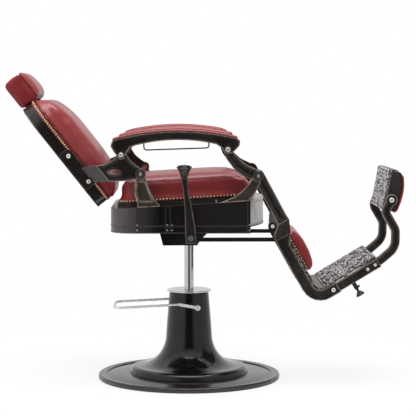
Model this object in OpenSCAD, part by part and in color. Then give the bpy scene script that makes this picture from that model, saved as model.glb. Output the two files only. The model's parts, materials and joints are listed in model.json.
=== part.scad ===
// Hydraulic barber chair, raised on its ram and fully reclined. Millimetres, +Z up, +X forward.
// The origin is on the floor at the centre of the base, and the chair's right side is at -Y.
// Seat sizes are heights above the underside of the seat box, which the ram carries.

/* [Base] */
// Diameter of the whole base
base_d = 702; // [580:1:860]
// Thickness of the heavy floor plate
plate_t = 12; // [8:0.5:18]
// Width of the bead round the base
rim_w = 33; // [20:1:60]
// Height of the bead above the floor
rim_h = 20; // [18:0.5:30]
// Diameter of the lip at the foot of the column skirt
lip_d = 458; // [400:1:540]
// Rise of the rounded lip above the dish
lip_rise = 26; // [25:0.5:40]
// Diameter of the column where its flare begins
column_foot_d = 180; // [168:1:230]
// Diameter of the column at its top
column_d = 150; // [148:1:190]
// Height of the column's top above the floor
column_h = 338; // [320:1:420]
// Wall of the skirt and the dish
skirt_t = 4; // [2:0.5:6]
// Diameter of the chrome collar on the column
collar_d = 170; // [160:1:220]
// Thickness of the chrome collar
collar_t = 6; // [3:0.5:10]

/* [Ram and pump] */
// Diameter of the ram
ram_d = 36; // [30:0.5:44]
// Lift of the ram
travel = 170; // [120:1:220]
// Gap left between hub and collar with the seat lowered
low_gap = 8; // [4:0.5:20]
// Diameter of the oil tank round the cylinder
tank_d = 136; // [132:1:150]
// Diameter of the pedal shaft
shaft_d = 14; // [10:0.5:18]
// Depth of the pedal shaft below the column's top
shaft_drop = 55; // [50:1:80]
// Diameter of the pump plunger
plunger_d = 18; // [12:0.5:22]
// Turns of the plunger spring
spring_turns = 5; // [3:1:8]

/* [Pedal] */
// Reach of the pedal behind the column's axis
pedal_reach = 287; // [240:1:340]
// Width of the pedal loop between its rods
pedal_w = 190; // [176:1:240]
// Diameter of the pedal rod
pedal_rod_d = 9; // [7:0.5:12]

/* [Seat] */
// Depth of the hub and its carrier under the seat box
carrier_h = 65; // [60:1:90]
// Width of the seat box
box_w = 620; // [520:1:760]
// Reach of the seat box behind the ram
box_back = 291; // [270:1:330]
// Reach of the seat box in front of the ram
box_front = 225; // [210:1:232]
// Height of the seat box above the ram's axis
box_h = 106; // [90:1:110]
// Upward tilt of the seat towards the front, degrees
seat_tilt = 3.4; // [0:0.1:4]
// Corner radius at the back of the seat box
box_corner_r = 92; // [40:1:120]
// Wall of the seat box
box_t = 4; // [2:0.5:6]
// Width of the flange round the top of the seat box
flange_w = 64; // [58:1:80]
// Forward bow of the front panel
panel_bow = 60; // [30:1:70]
// Thickness of the seat board
board_t = 14; // [10:0.5:20]
// Height of the seat cushion above its board
cushion_h = 98; // [70:1:110]

/* [Pivots, measured from the box underside] */
// Recline pivot, forward of the ram
back_pivot_x = -178; // [-190:1:-166]
// Recline pivot, height
back_pivot_z = 219; // [212:1:226]
// Rear arm pivot, forward of the ram
arm_rear_x = -248; // [-256:1:-240]
// Rear arm pivot, height
arm_rear_z = 290; // [282:1:298]
// Front arm pivot, forward of the ram
arm_front_x = 141; // [134:1:148]
// Front arm pivot, height
arm_front_z = 309; // [302:1:316]
// Leg rest pivot, forward of the ram
leg_pivot_x = 254; // [248:1:262]
// Leg rest pivot, height
leg_pivot_z = 212; // [206:1:220]
// Diameter of the arm pivot pins
arm_pin_d = 12; // [8:0.5:14]
// Diameter of the recline and leg rest pins
main_pin_d = 16; // [12:0.5:18]
// Radial clearance of a pin in its hole
fit = 0.05; // [0.02:0.01:0.1]
// Radial clearance at the front arm pins, which take up the linkage's error
arm_play = 1.1; // [1:0.1:2]

/* [Sides] */
// Thickness of the brackets that stand on the seat box
bracket_t = 16; // [10:0.5:20]
// Thickness of the back wings and the upper leg frames
wing_t = 17; // [10:0.5:20]
// Side gap between parts that turn past each other
side_gap = 2; // [0.5:0.5:4]
// Width of an arm casting
arm_w = 68; // [56:1:90]
// Thickness of an armrest pad
arm_pad_t = 14; // [8:0.5:24]
// Diameter of the towel bar wire
towel_d = 5; // [4:0.5:8]

/* [Back] */
// Lean of the reclined back from upright, degrees
back_lean = 38.3; // [34:0.1:42]
// Length of the back frame
back_len = 458; // [400:1:560]
// Width of the back frame
back_w = 480; // [400:1:500]
// Depth of the back frame band
band_depth = 52; // [44:1:60]
// Wall of the back frame band
band_t = 4; // [2:0.5:6]
// Distance of the band's front edge behind the recline pivot
band_back = 150; // [146:1:156]
// Thickness of the back board
back_board_t = 14; // [8:0.5:16]
// Crown of the back cushion in front of the band
back_crown = 77; // [50:1:80]
// Width of the headrest
head_w = 280; // [200:1:340]
// Height of the headrest block
head_h = 117; // [90:1:150]
// Depth of the headrest block
head_depth = 78; // [66:1:100]
// Thickness of the headrest pad
head_pad_t = 25; // [15:1:30]
// Diameter of the headrest posts
post_d = 12; // [8:0.5:14]

/* [Recline lever] */
// Lever pivot, forward of the ram
lever_x = 5; // [-5:1:15]
// Height of the lever above its pivot, to the top of the knob
lever_h = 262; // [220:1:268]
// Thickness of the lever
lever_t = 12; // [8:0.5:16]
// Diameter of the cup-shaped knob
knob_d = 55; // [40:1:70]
// Diameter of the lever shaft
lever_shaft_d = 14; // [10:0.5:16]

/* [Leg rest] */
// Half width of the lower leg frames, to their inner faces
foot_half_w = 194; // [180:1:200]
// Thickness of the lower leg frames
leg_t = 18; // [14:0.5:24]
// Depth of the leg frames
leg_depth = 41; // [34:0.5:50]
// Depth of the footrest rails
rail_depth = 35; // [28:0.5:36]
// Length of the footplate's tread
tread_len = 229; // [190:1:260]
// Thickness of the footplate
footplate_t = 8; // [6:0.5:10]
// Depth of an S-arm along its path
s_arm_w = 32; // [24:0.5:40]
// Width of the flip footrest
flip_w = 348; // [280:1:356]
// Thickness of the calf cushion
calf_t = 45; // [30:1:50]
// Diameter of the flared rubber bumper
bumper_d = 34; // [20:1:40]
// Depth of a link bar
bar_h = 15; // [10:0.5:18]
// Thickness of a link bar
bar_t = 8; // [5:0.5:10]

/* [Hidden] */
$fn = 64;
far = 2000;
gap = 0.3;

// Base, from the floor up
base_r = base_d / 2;
plate_r = base_r - 13;
dish_seat = rim_w - 12;
dish_z = 24;
lip_r = lip_d / 2;
lip_round = lip_rise - 2;
flare_x = lip_r - lip_round;
flare_r = flare_x - column_foot_d / 2;
flare_z = dish_z + lip_rise + flare_r;
ram_r = ram_d / 2;
cylinder_in_r = ram_r + 2;
cylinder_r = cylinder_in_r + 4.5;
shaft_r = shaft_d / 2;
shaft_x = cylinder_r + shaft_r + 1.5;
shaft_z = column_h - shaft_drop;
plunger_r = plunger_d / 2;
plunger_x = -(cylinder_r + plunger_r + 16.5);
crank_pin_r = 6;
plunger_top = shaft_z - crank_pin_r - gap;
tank_top = shaft_z - 68;
fork_in = cylinder_r + 9.5;
fork_t = 8;
ear_in = fork_in + fork_t + 2;
ear_t = 8;
ram_low = plate_t + 10 + travel;
spigot_r = ram_r - 5;
guide_h = 20;

// Seat
seat_z = column_h + collar_t + travel + low_gap + carrier_h;
hub_z = -carrier_h;
hub_r = ram_r + 10;
shoulder_z = hub_z + 8;
washer_t = 6;
carrier_plate_t = 8;
carrier_in = hub_r + 10;
carrier_wall = 8;
box_half = box_w / 2;
bracket_out = box_half;
bracket_in = bracket_out - bracket_t;
wing_out = bracket_in - side_gap;
wing_in = wing_out - wing_t;
arm_mid = (wing_in + wing_out) / 2 + 16.5;
arm_in = arm_mid - arm_w / 2;
arm_out = arm_mid + arm_w / 2;
arm_top = [[-279, 343], [176, 350]];
arm_bow = 29;
cushion_half = wing_in - 15;
board_half = cushion_half - 4;
pivot_a = [back_pivot_x, back_pivot_z];
pivot_b = [arm_rear_x, arm_rear_z];
pivot_c = [arm_front_x, arm_front_z];
pivot_d = [leg_pivot_x, leg_pivot_z];
arm_pin_r = arm_pin_d / 2;
main_pin_r = main_pin_d / 2;
bolt_r = 3.5;
carrier_bolt_r = 5;

// Back, as [behind or in front of the pivot, up the back]
band_out = back_w / 2;
board_n = -band_back - 2;
post_n = board_n - back_board_t - 11;
post_y = 55;
head_z = back_len + 1.5;

// Lever and link bars
lever_pivot = [lever_x, -15];
lever_r = lever_shaft_d / 2;
lever_y = box_half + 22;
bar_y = foot_half_w - 7;
bar_eye = [leg_pivot_x + 80, -15];
bar_drop = 11;
bar_play = 8.5;
guide_half = bar_t / 2 + 6;
slot_half = bar_t / 2 + 1;

// Leg rest, measured from the leg rest pivot: calf line, tread line and their corner
calf_dir = [0.4905, -0.8714];
tread_dir = [0.857, 0.515];
calf_top = [121, -262];
tread_heel = [250, -431];
foot_corner = line_meet(calf_top, calf_dir, tread_heel, tread_dir);
heel_r = 35;
leg_out = foot_half_w + leg_t;
rail_in = foot_half_w + 3;
rail_t = leg_t - 6;
heel_bolt = 30;
toe_bolts = [180, 212];
rail_bolt_r = 3;
s_arm_t = 14;
s_arm_out = rail_in;
s_arm_in = s_arm_out - s_arm_t;
flip_pivot = [leg_pivot_x + 504, 115];
flip_tilt = 10.7;
flip_half = flip_w / 2;

// Unit vector from a to b, and a vector turned a quarter to the left
function unit(a, b) = (b - a) / norm(b - a);
function left(u) = [-u.y, u.x];
function xy(p) = [p.x, p.y];
function turn(u, v) = u.x * v.y - u.y * v.x;

// Where the line through p along u meets the line through q along v
function line_meet(p, u, q, v) = p + u * turn(q - p, v) / turn(u, v);

// Points on a circle about c from angle a0 to a1
function arc(c, r, a0, a1, n = 10) =
    [for (i = [0:n]) let (a = a0 + (a1 - a0) * i / n) c + r * [cos(a), sin(a)]];

// Points on the arc from p to q that bulges s to the left of the way
function bow(p, q, s, n = 14) =
    let (
        chord = norm(q - p),
        r = (chord * chord / 4 + s * s) / (2 * s),
        u = unit(p, q),
        c = (p + q) / 2 + left(u) * (s - r),
        half = asin(chord / 2 / r)
    )
    [for (i = [0:n]) let (a = half * (1 - 2 * i / n)) c + r * (left(u) * cos(a) - u * sin(a))];

// Fillet of radius r at corner b between its neighbours a and c
function fillet(a, b, c, r, n = 6) =
    let (
        u = unit(b, a),
        v = unit(b, c),
        half = acos(u * v) / 2,
        p = b + u * r / tan(half),
        m = b + (u + v) / norm(u + v) * r / sin(half),
        q = b + v * r / tan(half),
        a0 = atan2(p.y - m.y, p.x - m.x),
        sweep = (atan2(q.y - m.y, q.x - m.x) - a0 + 540) % 360 - 180
    )
    [for (i = [0:n]) let (a = a0 + sweep * i / n) m + r * [cos(a), sin(a)]];

// Outline of points [x, z] or [x, z, radius] with the corners that have a radius rounded
function rounded(pts) =
    let (k = len(pts))
    [for (i = [0:k - 1])
        let (b = pts[i], a = pts[(i + k - 1) % k], c = pts[(i + 1) % k])
        each (len(b) < 3 || b[2] == 0 ? [xy(b)] : fillet(xy(a), xy(b), xy(c), b[2]))];

// The path pts shifted d to its left, with its corner radii kept concentric
function shifted(pts, d) =
    let (k = len(pts))
    [for (i = [0:k - 1])
        let (
            p = xy(pts[i]),
            u = i > 0 ? unit(xy(pts[i - 1]), p) : unit(p, xy(pts[i + 1])),
            v = i < k - 1 ? unit(p, xy(pts[i + 1])) : u,
            m = left(u) + left(v),
            o = p + m * d * 2 / (m * m),
            r = len(pts[i]) > 2 ? pts[i][2] : 0
        )
        [o.x, o.y, r == 0 ? 0 : max(r - d * sign(turn(u, v)), 1)]];

// Outline of a strip of width w along a path
function strip(pts, w) =
    let (a = shifted(pts, w / 2), b = shifted(pts, -w / 2), k = len(pts))
    rounded(concat(a, [for (i = [0:k - 1]) b[k - 1 - i]]));

// Plan outline with rounded corners, between x0 and x1 and within half of the middle
function plan_box(x0, x1, half, rear_r, front_r) =
    rounded([[x0, -half, rear_r], [x1, -half, front_r], [x1, half, front_r], [x0, half, rear_r]]);

// A point of the leg rest at s down the calf and d in front of the calf line
function calf_at(s, d) = calf_top + calf_dir * s + left(calf_dir) * d;
// A point of the leg rest at s along the tread and d above the tread line
function tread_at(s, d) = tread_heel + tread_dir * s + left(tread_dir) * d;

// Bodies of an outline drawn in X and Z, from y0 to y1
module plate_y(outline, y0, y1) {
    translate([0, y1, 0]) rotate([90, 0, 0]) linear_extrude(y1 - y0) polygon(outline);
}
// Cylinder along Y about the point p, from y0 to y1
module pin_y(p, r, y0, y1) {
    translate([p.x, y1, p.y]) rotate([90, 0, 0]) cylinder(r = r, h = y1 - y0);
}
// Ring about Z
module ring(r0, r1, z0, z1) {
    rotate_extrude() translate([r0, z0]) square([r1 - r0, z1 - z0]);
}
// Rod of diameter d from p to q
module rod(p, q, d) {
    step = q - p;
    translate(p) rotate([0, acos(step.z / norm(step)), atan2(step.y, step.x)]) cylinder(d = d, h = norm(step));
}
// Bend of a rod about Z, starting on the X axis
module bend(r, d, angle = 90) {
    rotate_extrude(angle = angle) translate([r, 0]) circle(d = d);
}
module both_sides() {
    children();
    mirror([0, 1, 0]) children();
}
// Frames: the seat box underside, the tilted seat, the back, the leg rest and the flip footrest
module at_seat() { translate([0, 0, seat_z]) children(); }
module on_seat() { translate([0, 0, seat_z + box_h]) rotate([0, -seat_tilt, 0]) children(); }
module on_back() { translate([pivot_a.x, 0, seat_z + pivot_a.y]) rotate([0, -back_lean, 0]) children(); }
module at_leg() { translate([pivot_d.x, 0, seat_z + pivot_d.y]) children(); }
module on_flip() { translate([flip_pivot.x, 0, seat_z + flip_pivot.y]) rotate([0, flip_tilt, 0]) children(); }
// Everything below the tilted seat plane, raised by up
module below_seat(up) {
    on_seat() translate([-far / 2, -far / 2, up - far]) cube(far);
}

// ---- Base ----

module tank_bolt_places() {
    for (a = [45:90:315]) rotate(a) translate([tank_d / 2 - 18, 0, 0]) children();
}
module floor_plate() {
    color("dimgray") difference() {
        ring(0, plate_r, 0, plate_t);
        tank_bolt_places() translate([0, 0, -1]) {
            cylinder(r = 5.2, h = plate_t + 2);
            cylinder(r = 9.5, h = 8);
        }
    }
}
module base_dish() {
    color("#231a17") rotate_extrude() polygon([
        [plate_r, plate_t], [plate_r, plate_t + 3], [plate_r - dish_seat, plate_t + 3],
        [lip_r + 3, dish_z], [lip_r - 21, dish_z], [lip_r - 21, dish_z - skirt_t],
        [lip_r + 3, dish_z - skirt_t], [plate_r - dish_seat, plate_t]
    ]);
}
module base_rim() {
    in_r = base_r - rim_w;
    color("#2c201b") rotate_extrude() polygon(concat(
        [[plate_r + gap, 1], [base_r - 2, 1]],
        arc([base_r - 8, rim_h - 12], 8, 0, 70, 6),
        arc([in_r + 6, rim_h - 5], 5, 90, 180, 5),
        [[in_r + 1, plate_t + 3], [plate_r + gap, plate_t + 3]]
    ));
}
module column_skirt() {
    outer = concat(
        arc([flare_x, dish_z + lip_rise - lip_round], lip_round, -4, 90, 8),
        arc([flare_x, flare_z], flare_r, -90, -180, 14),
        [[column_d / 2, column_h]]
    );
    inner = concat(
        [[column_d / 2 - skirt_t, column_h]],
        arc([flare_x, flare_z], flare_r + skirt_t, -180, -90, 14),
        arc([flare_x, dish_z + lip_rise - lip_round], lip_round - skirt_t, 90, 0, 8)
    );
    color("black") difference() {
        rotate_extrude() polygon(concat(
            [[lip_r, dish_z]], outer, inner, [[lip_r - skirt_t, dish_z]]
        ));
        pin_y([shaft_x, shaft_z], shaft_r + 2, -far / 2, far / 2);
    }
}
module column_collar() {
    color("silver") ring(ram_r + 0.8, collar_d / 2, column_h, column_h + collar_t);
}
module pump_cylinder() {
    color("gray") ring(cylinder_in_r, cylinder_r, plate_t + gap, column_h - 5);
}
module pump_body() {
    color("dimgray") difference() {
        ring(cylinder_r + fit, tank_d / 2, plate_t, tank_top);
        translate([plunger_x, 0, tank_top - 95]) cylinder(r = plunger_r + fit, h = 96);
        tank_bolt_places() cylinder(r = 5.2, h = 46);
    }
}
module pump_bolts() {
    color("gray") tank_bolt_places() translate([0, 0, 1]) {
        cylinder(r = 5, h = 42);
        cylinder(r = 8.5, h = 6);
    }
}
module pump_head() {
    ear_out = ear_in + ear_t;
    color("gray") difference() {
        union() {
            ring(cylinder_r + fit, cylinder_r + 7.5, shaft_z + 9, shaft_z + 25);
            difference() {
                translate([-34, -ear_out, shaft_z + 17]) cube([shaft_x + 51, 2 * ear_out, 8]);
                translate([0, 0, shaft_z]) cylinder(r = cylinder_r + fit, h = 40);
            }
            both_sides() translate([shaft_x - 14, ear_in, shaft_z - 14]) cube([28, ear_t, 32]);
        }
        pin_y([shaft_x, shaft_z], shaft_r + fit, -far / 2, far / 2);
        skirt_margin();
    }
}

// Ring just inside the skirt's wall that what is in the column keeps out of
module skirt_margin() {
    low_r = column_foot_d / 2 - skirt_t;
    top_r = column_d / 2 - skirt_t;
    translate([0, 0, flare_z]) rotate_extrude() polygon([
        [low_r - 1, 0], [low_r + 40, 0], [top_r + 40, column_h - flare_z], [top_r - 1, column_h - flare_z]
    ]);
}
module gland_bush() {
    color("goldenrod") rotate_extrude() polygon([
        [ram_r + fit, column_h - 42], [cylinder_in_r - fit, column_h - 42],
        [cylinder_in_r - fit, column_h - 5], [cylinder_r, column_h - 5],
        [cylinder_r, column_h], [ram_r + fit, column_h]
    ]);
}
module ram_seal() {
    color("black") ring(ram_r + 0.1, cylinder_in_r - fit, column_h - 50, column_h - 42 - gap);
}

// ---- Pedal and pump plunger ----

module pedal_loop() {
    y = pedal_w / 2;
    d = pedal_rod_d;
    flat = d / 2 + 0.5;
    corner_r = 22;
    crest = [shaft_x - 68, shaft_z + 13];
    fall = atan2(13, pedal_reach + crest.x);
    reach = (pedal_reach + crest.x) / cos(fall);
    color("silver") difference() {
        union() {
            translate([crest.x, 0, crest.y]) rotate([0, -fall, 0]) {
                both_sides() {
                    rod([0, y, 0], [corner_r - reach, y, 0], d);
                    translate([corner_r - reach, y - corner_r, 0]) rotate(90) bend(corner_r, d);
                }
                rod([-reach, corner_r - y, 0], [-reach, y - corner_r, 0], d);
            }
            both_sides() {
                plate_y(strip([[shaft_x, shaft_z], crest], 2 * flat + 1), y - flat, y + flat);
                pin_y(crest, flat + 0.5, y - flat, y + flat);
                pin_y([shaft_x, shaft_z], shaft_r + 3.5, y - 7, y + 5);
            }
        }
        pin_y([shaft_x, shaft_z], shaft_r + fit, -far / 2, far / 2);
    }
}
module pedal_shaft() {
    y = pedal_w / 2;
    color("silver") {
        pin_y([shaft_x, shaft_z], shaft_r, -y - 6, y + 6);
        both_sides() pin_y([shaft_x, shaft_z], shaft_r + 1.5, y + 5 + gap, y + 9);
    }
}
module pump_crank() {
    color("gray") difference() {
        union() {
            both_sides() {
                pin_y([shaft_x, shaft_z], 13, fork_in, fork_in + fork_t);
                translate([plunger_x, fork_in, shaft_z - 7]) cube([shaft_x - plunger_x, fork_t, 14]);
            }
            pin_y([plunger_x, shaft_z], crank_pin_r, -fork_in - fork_t, fork_in + fork_t);
        }
        pin_y([shaft_x, shaft_z], shaft_r + fit, -far / 2, far / 2);
    }
}
module pump_plunger() {
    color("gray") translate([plunger_x, 0, 0]) {
        translate([0, 0, tank_top - 60]) cylinder(r = plunger_r, h = plunger_top - tank_top + 60);
        translate([0, 0, plunger_top - 10]) cylinder(r = plunger_r + 6, h = 4);
    }
}
module plunger_spring() {
    wire_r = 1.3;
    low = tank_top + wire_r + gap;
    high = plunger_top - 10 - wire_r - gap;
    coil_r = plunger_r + 3.2;
    around = 6;
    per_turn = 12;
    rings = spring_turns * per_turn;
    points = [for (i = [0:rings], k = [0:around - 1])
        let (a = 360 * i / per_turn, b = 360 * k / around, r = coil_r + wire_r * cos(b))
        [r * cos(a), r * sin(a), low + (high - low) * i / rings + wire_r * sin(b)]];
    sides = [for (i = [0:rings - 1], k = [0:around - 1])
        let (n = (k + 1) % around, p = i * around)
        [p + k, p + around + k, p + around + n, p + n]];
    caps = [[for (k = [0:around - 1]) k], [for (k = [0:around - 1]) (rings + 1) * around - 1 - k]];
    color("gray") translate([plunger_x, 0, 0]) polyhedron(points, concat(sides, caps));
}

// ---- Lift ----

module ram() {
    shoulder = seat_z + shoulder_z;
    color("silver") {
        translate([0, 0, ram_low + guide_h]) cylinder(r = ram_r, h = shoulder - ram_low - guide_h);
        translate([0, 0, ram_low]) cylinder(r = ram_r - 3, h = guide_h + 1);
        translate([0, 0, shoulder - 1]) cylinder(r = spigot_r, h = seat_z - 10 - shoulder + 1);
    }
}
module ram_guide() {
    color("goldenrod") ring(ram_r - 3 + fit, cylinder_in_r - fit, ram_low + 1, ram_low + guide_h - gap);
}
module thrust_washer() {
    z = seat_z + shoulder_z;
    color("goldenrod") ring(spigot_r + fit, ram_r, z, z + washer_t);
}

// ---- Seat ----

module swivel_hub() {
    top = -carrier_plate_t;
    color("dimgray") at_seat() difference() {
        union() {
            translate([0, 0, hub_z]) cylinder(r = hub_r, h = top - hub_z);
            translate([-65, -carrier_in + 1, top - 8]) cube([130, 2 * carrier_in - 2, 8]);
        }
        translate([0, 0, hub_z - 1]) cylinder(r = ram_r + 0.5, h = 1 + 8 + washer_t + gap);
        translate([0, 0, hub_z]) cylinder(r = spigot_r + fit, h = carrier_h);
        carrier_bolt_places() translate([0, 0, top - 9]) cylinder(r = carrier_bolt_r + 0.2, h = 10);
    }
}
module seat_carrier() {
    half = carrier_in + carrier_wall;
    low = hub_z + 3;
    top = -carrier_plate_t;
    color("#1c1614") at_seat() difference() {
        union() {
            plate_y([[-112, -1], [-98, low], [32, low], [90, -1]], -half, half);
            translate([-118, -half - 28, top]) cube([220, 2 * half + 56, carrier_plate_t]);
        }
        plate_y([[-103, top], [-90, low - 1], [24, low - 1], [79, top]], -carrier_in, carrier_in);
        translate([0, 0, low - 1]) cylinder(r = hub_r + gap, h = top - low + 1);
        pin_y(lever_pivot, lever_r + fit, -half - 1, -carrier_in + 1);
        carrier_bolt_places() translate([0, 0, top - 1]) cylinder(r = carrier_bolt_r + 0.2, h = carrier_plate_t + 2);
    }
}
module carrier_bolt_places() {
    for (x = [-52, 52], y = [-20, 20]) translate([x, y, 0]) children();
}
module foot_bolt_places() {
    for (x = [-168, -132, 100, 190]) translate([x, bracket_in + 6, 0]) children();
}
module seat_bolts() {
    color("silver") {
        at_seat() carrier_bolt_places() translate([0, 0, -carrier_plate_t - 14]) {
            cylinder(r = 8, h = 6 - gap);
            cylinder(r = carrier_bolt_r, h = carrier_plate_t + 14 + 12);
            translate([0, 0, carrier_plate_t + 14 + 5]) cylinder(r = 8, h = 6);
        }
        on_seat() both_sides() foot_bolt_places() {
            translate([0, 0, -10 - gap]) cylinder(r = 5.5, h = 5);
            translate([0, 0, -6]) cylinder(r = bolt_r, h = 18);
        }
    }
}
module box_plan(inset, z0, z1) {
    translate([0, 0, seat_z + z0]) linear_extrude(z1 - z0) polygon(
        plan_box(-box_back + inset, box_front - inset, box_half - inset, box_corner_r - inset, 1)
    );
}
module seat_box() {
    floor_t = 5;
    color("#1a1513") difference() {
        union() {
            intersection() {
                difference() {
                    box_plan(0, 0, 300);
                    box_plan(flange_w, 30, 301);
                    intersection() {
                        box_plan(box_t, floor_t, 301);
                        below_seat(-5);
                    }
                }
                below_seat(0);
            }
            at_seat() translate([lever_x - 17, -box_half + 6, -27]) cube([34, 14, 28]);
        }
        at_seat() pin_y(lever_pivot, lever_r + fit, -box_half, -box_half + 30);
        at_seat() carrier_bolt_places() translate([0, 0, -1]) cylinder(r = carrier_bolt_r + 0.2, h = floor_t + 2);
        on_seat() both_sides() foot_bolt_places() {
            translate([0, 0, -8]) cylinder(r = bolt_r + 0.2, h = 9);
        }
    }
}
module front_panel() {
    low = 21;
    half = wing_in - side_gap - 1;
    outer = bow([box_front, half], [box_front, -half], panel_bow, 20);
    inner = bow([box_front - 1, half - 8], [box_front - 1, -half + 8], panel_bow - 5, 20);
    color("#b9b6b2") intersection() {
        translate([0, 0, seat_z + low]) linear_extrude(200) polygon(outer);
        below_seat(-0.5);
        difference() {
            translate([0, 0, seat_z]) cylinder(r = far / 2, h = 300);
            intersection() {
                translate([0, 0, seat_z]) linear_extrude(250) polygon(inner);
                below_seat(-6);
            }
        }
    }
}
module seat_board() {
    color("peru") on_seat() linear_extrude(board_t) polygon(
        plan_box(-box_back + 23, box_front + 3, board_half, box_corner_r - 23, 20)
    );
}
module seat_cushion() {
    low = board_t + gap;
    top = board_t + cushion_h;
    back = -box_back + 30;
    front = box_front + 25;
    color("#96373c") on_seat() intersection() {
        plate_y([
            [back, low], [back, top - 38], [back + 12, top - 18], [back + 62, top - 4],
            [-60, top + 1], [60, top - 1], [front - 80, top - 10], [front - 25, top - 34],
            [front - 4, top - 62], [front, low]
        ], -cushion_half, cushion_half);
        translate([-far / 2, 0, 0]) rotate([90, 0, 90]) linear_extrude(far) polygon([
            [-cushion_half + 2, low], [-cushion_half, 60], [-cushion_half + 6, top - 20],
            [-cushion_half + 35, top - 6], [0, top + 2], [cushion_half - 35, top - 6],
            [cushion_half - 6, top - 20], [cushion_half, 60], [cushion_half - 2, low]
        ]);
        linear_extrude(200) polygon(plan_box(back, front, cushion_half, 60, 45));
    }
}

// ---- Side brackets ----

module rear_brackets() {
    a = pivot_a;
    recess_depth = 2.5;
    color("#3a2d27") both_sides() difference() {
        at_seat() union() {
            plate_y(rounded([
                [a.x - 15, a.y - 12], [a.x - 22, a.y - 40, 30], [a.x - 23, a.y - 77, 40],
                [a.x - 12, a.y - 105, 20], [a.x - 12, a.y - 140], [a.x + 70, a.y - 140],
                [a.x + 70, a.y - 112, 12], [a.x + 58, a.y - 103, 20], [a.x + 41, a.y - 76, 60],
                [a.x + 28, a.y - 48, 60], [a.x + 17, a.y - 10]
            ]), bracket_in, bracket_out);
            pin_y(a, 19, bracket_in, bracket_out + 3);
        }
        at_seat() plate_y(rounded([
            [a.x - 13, a.y - 28, 4], [a.x - 16, a.y - 77, 30], [a.x - 6, a.y - 101, 8],
            [a.x + 45, a.y - 101, 4], [a.x + 33, a.y - 76, 50], [a.x + 14, a.y - 28, 4]
        ]), bracket_out - recess_depth, bracket_out + 1);
        below_seat(0);
        at_seat() pin_y(a, main_pin_r + fit, bracket_in - 1, bracket_out + 4);
        on_seat() foot_bolt_places() translate([0, 0, -1]) cylinder(r = bolt_r + 0.1, h = 14);
    }
}
module front_brackets() {
    d = pivot_d;
    color("#3a2d27") both_sides() difference() {
        at_seat() union() {
            plate_y(rounded([
                [d.x - 13, d.y + 12], [d.x - 34, d.y - 27, 60], [d.x - 60, d.y - 55, 90],
                [d.x - 86, d.y - 76, 90], [d.x - 140, d.y - 98, 80], [d.x - 196, d.y - 107], [d.x - 196, d.y - 125],
                [d.x - 38, d.y - 125], [d.x - 38, d.y - 94, 8], [d.x - 19, d.y - 76, 40],
                [d.x - 3, d.y - 46, 60], [d.x + 14, d.y - 12]
            ]), bracket_in, bracket_out);
            pin_y(d, 20, bracket_in, bracket_out + 3);
        }
        below_seat(0);
        at_seat() pin_y(d, main_pin_r + fit, bracket_in - 1, bracket_out + 4);
        on_seat() foot_bolt_places() translate([0, 0, -1]) cylinder(r = bolt_r + 0.1, h = 14);
    }
}
module bracket_pins() {
    color("silver") at_seat() both_sides() for (p = [pivot_a, pivot_d]) {
        pin_y(p, main_pin_r, wing_in - 5, bracket_out + 4);
        pin_y(p, 12, bracket_out + 3 + gap, bracket_out + 7);
        pin_y(p, 11, wing_in - 6, wing_in - gap);
    }
}
module brake_guides() {
    slot_top = bar_eye.y - bar_drop + 1;
    slot_low = bar_eye.y - bar_drop - bar_h - bar_play;
    guide = [[-112, 0], [-98, slot_low - 5], [30, slot_low - 5], [62, 0]];
    color("#1c1614") at_seat() both_sides() difference() {
        union() {
            plate_y(guide, bar_y - guide_half, bar_y - slot_half);
            plate_y(guide, bar_y + slot_half, bar_y + guide_half);
            difference() {
                plate_y(guide, bar_y - slot_half + gap, bar_y + slot_half - gap);
                translate([-120, bar_y - slot_half, slot_low]) cube([200, 2 * slot_half, slot_top - slot_low]);
            }
        }
        translate([lever_x - 15, bar_y - slot_half, slot_low]) cube([30, 2 * slot_half, -3 - slot_low]);
        pin_y(lever_pivot, lever_r + fit, bar_y - 20, bar_y + 20);
    }
}

// ---- Recline lever ----

module lever_handle() {
    top = lever_pivot.y + lever_h - 30;
    color("#33271f") at_seat() difference() {
        plate_y(rounded([
            [-31, top], [-31, top - 14], [-23, 162, 60], [-17, 89, 200], [-15, 20, 60],
            [-13, lever_pivot.y - 19, 4], [27, lever_pivot.y - 19, 4], [22, 30, 60], [12, 89, 200],
            [-1, 150, 60], [-5, top - 14], [-5, top]
        ]), -lever_y - lever_t, -lever_y);
        pin_y(lever_pivot, lever_r + fit, -lever_y - lever_t - 1, -lever_y + 1);
    }
}
module lever_knob() {
    r = knob_d / 2;
    stem_r = 11;
    color("#241c18") at_seat() translate([-18, -lever_y - lever_t / 2, lever_pivot.y + lever_h - 30])
        rotate_extrude() polygon(concat(
            [[0, 0], [stem_r, 0]],
            bow([stem_r, 4], [r, 26], -4, 8),
            [[r, 29], [r - 3, 30]],
            bow([r - 5, 28], [0, 22], -1, 4)
        ));
}
module lever_shaft() {
    cam_r = 9;
    cam_low = 1.7;
    color("gray") at_seat() {
        pin_y(lever_pivot, lever_r, -lever_y - lever_t - 1, -carrier_in - 0.5);
        pin_y(lever_pivot, lever_r + 4, -lever_y - lever_t - 5, -lever_y - lever_t - gap);
        pin_y(lever_pivot - [0, cam_low], cam_r, -bar_y - bar_t / 2, -bar_y + bar_t / 2);
    }
}

// ---- Back ----

// Outline of the back frame in Y and up the back, drawn in by inset
function back_outline(inset) = rounded([
    [-band_out + inset, inset, 25 - inset], [band_out - inset, inset, 25 - inset],
    [band_out - inset, back_len - inset, 100 - inset], [-band_out + inset, back_len - inset, 100 - inset]
]);
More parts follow.
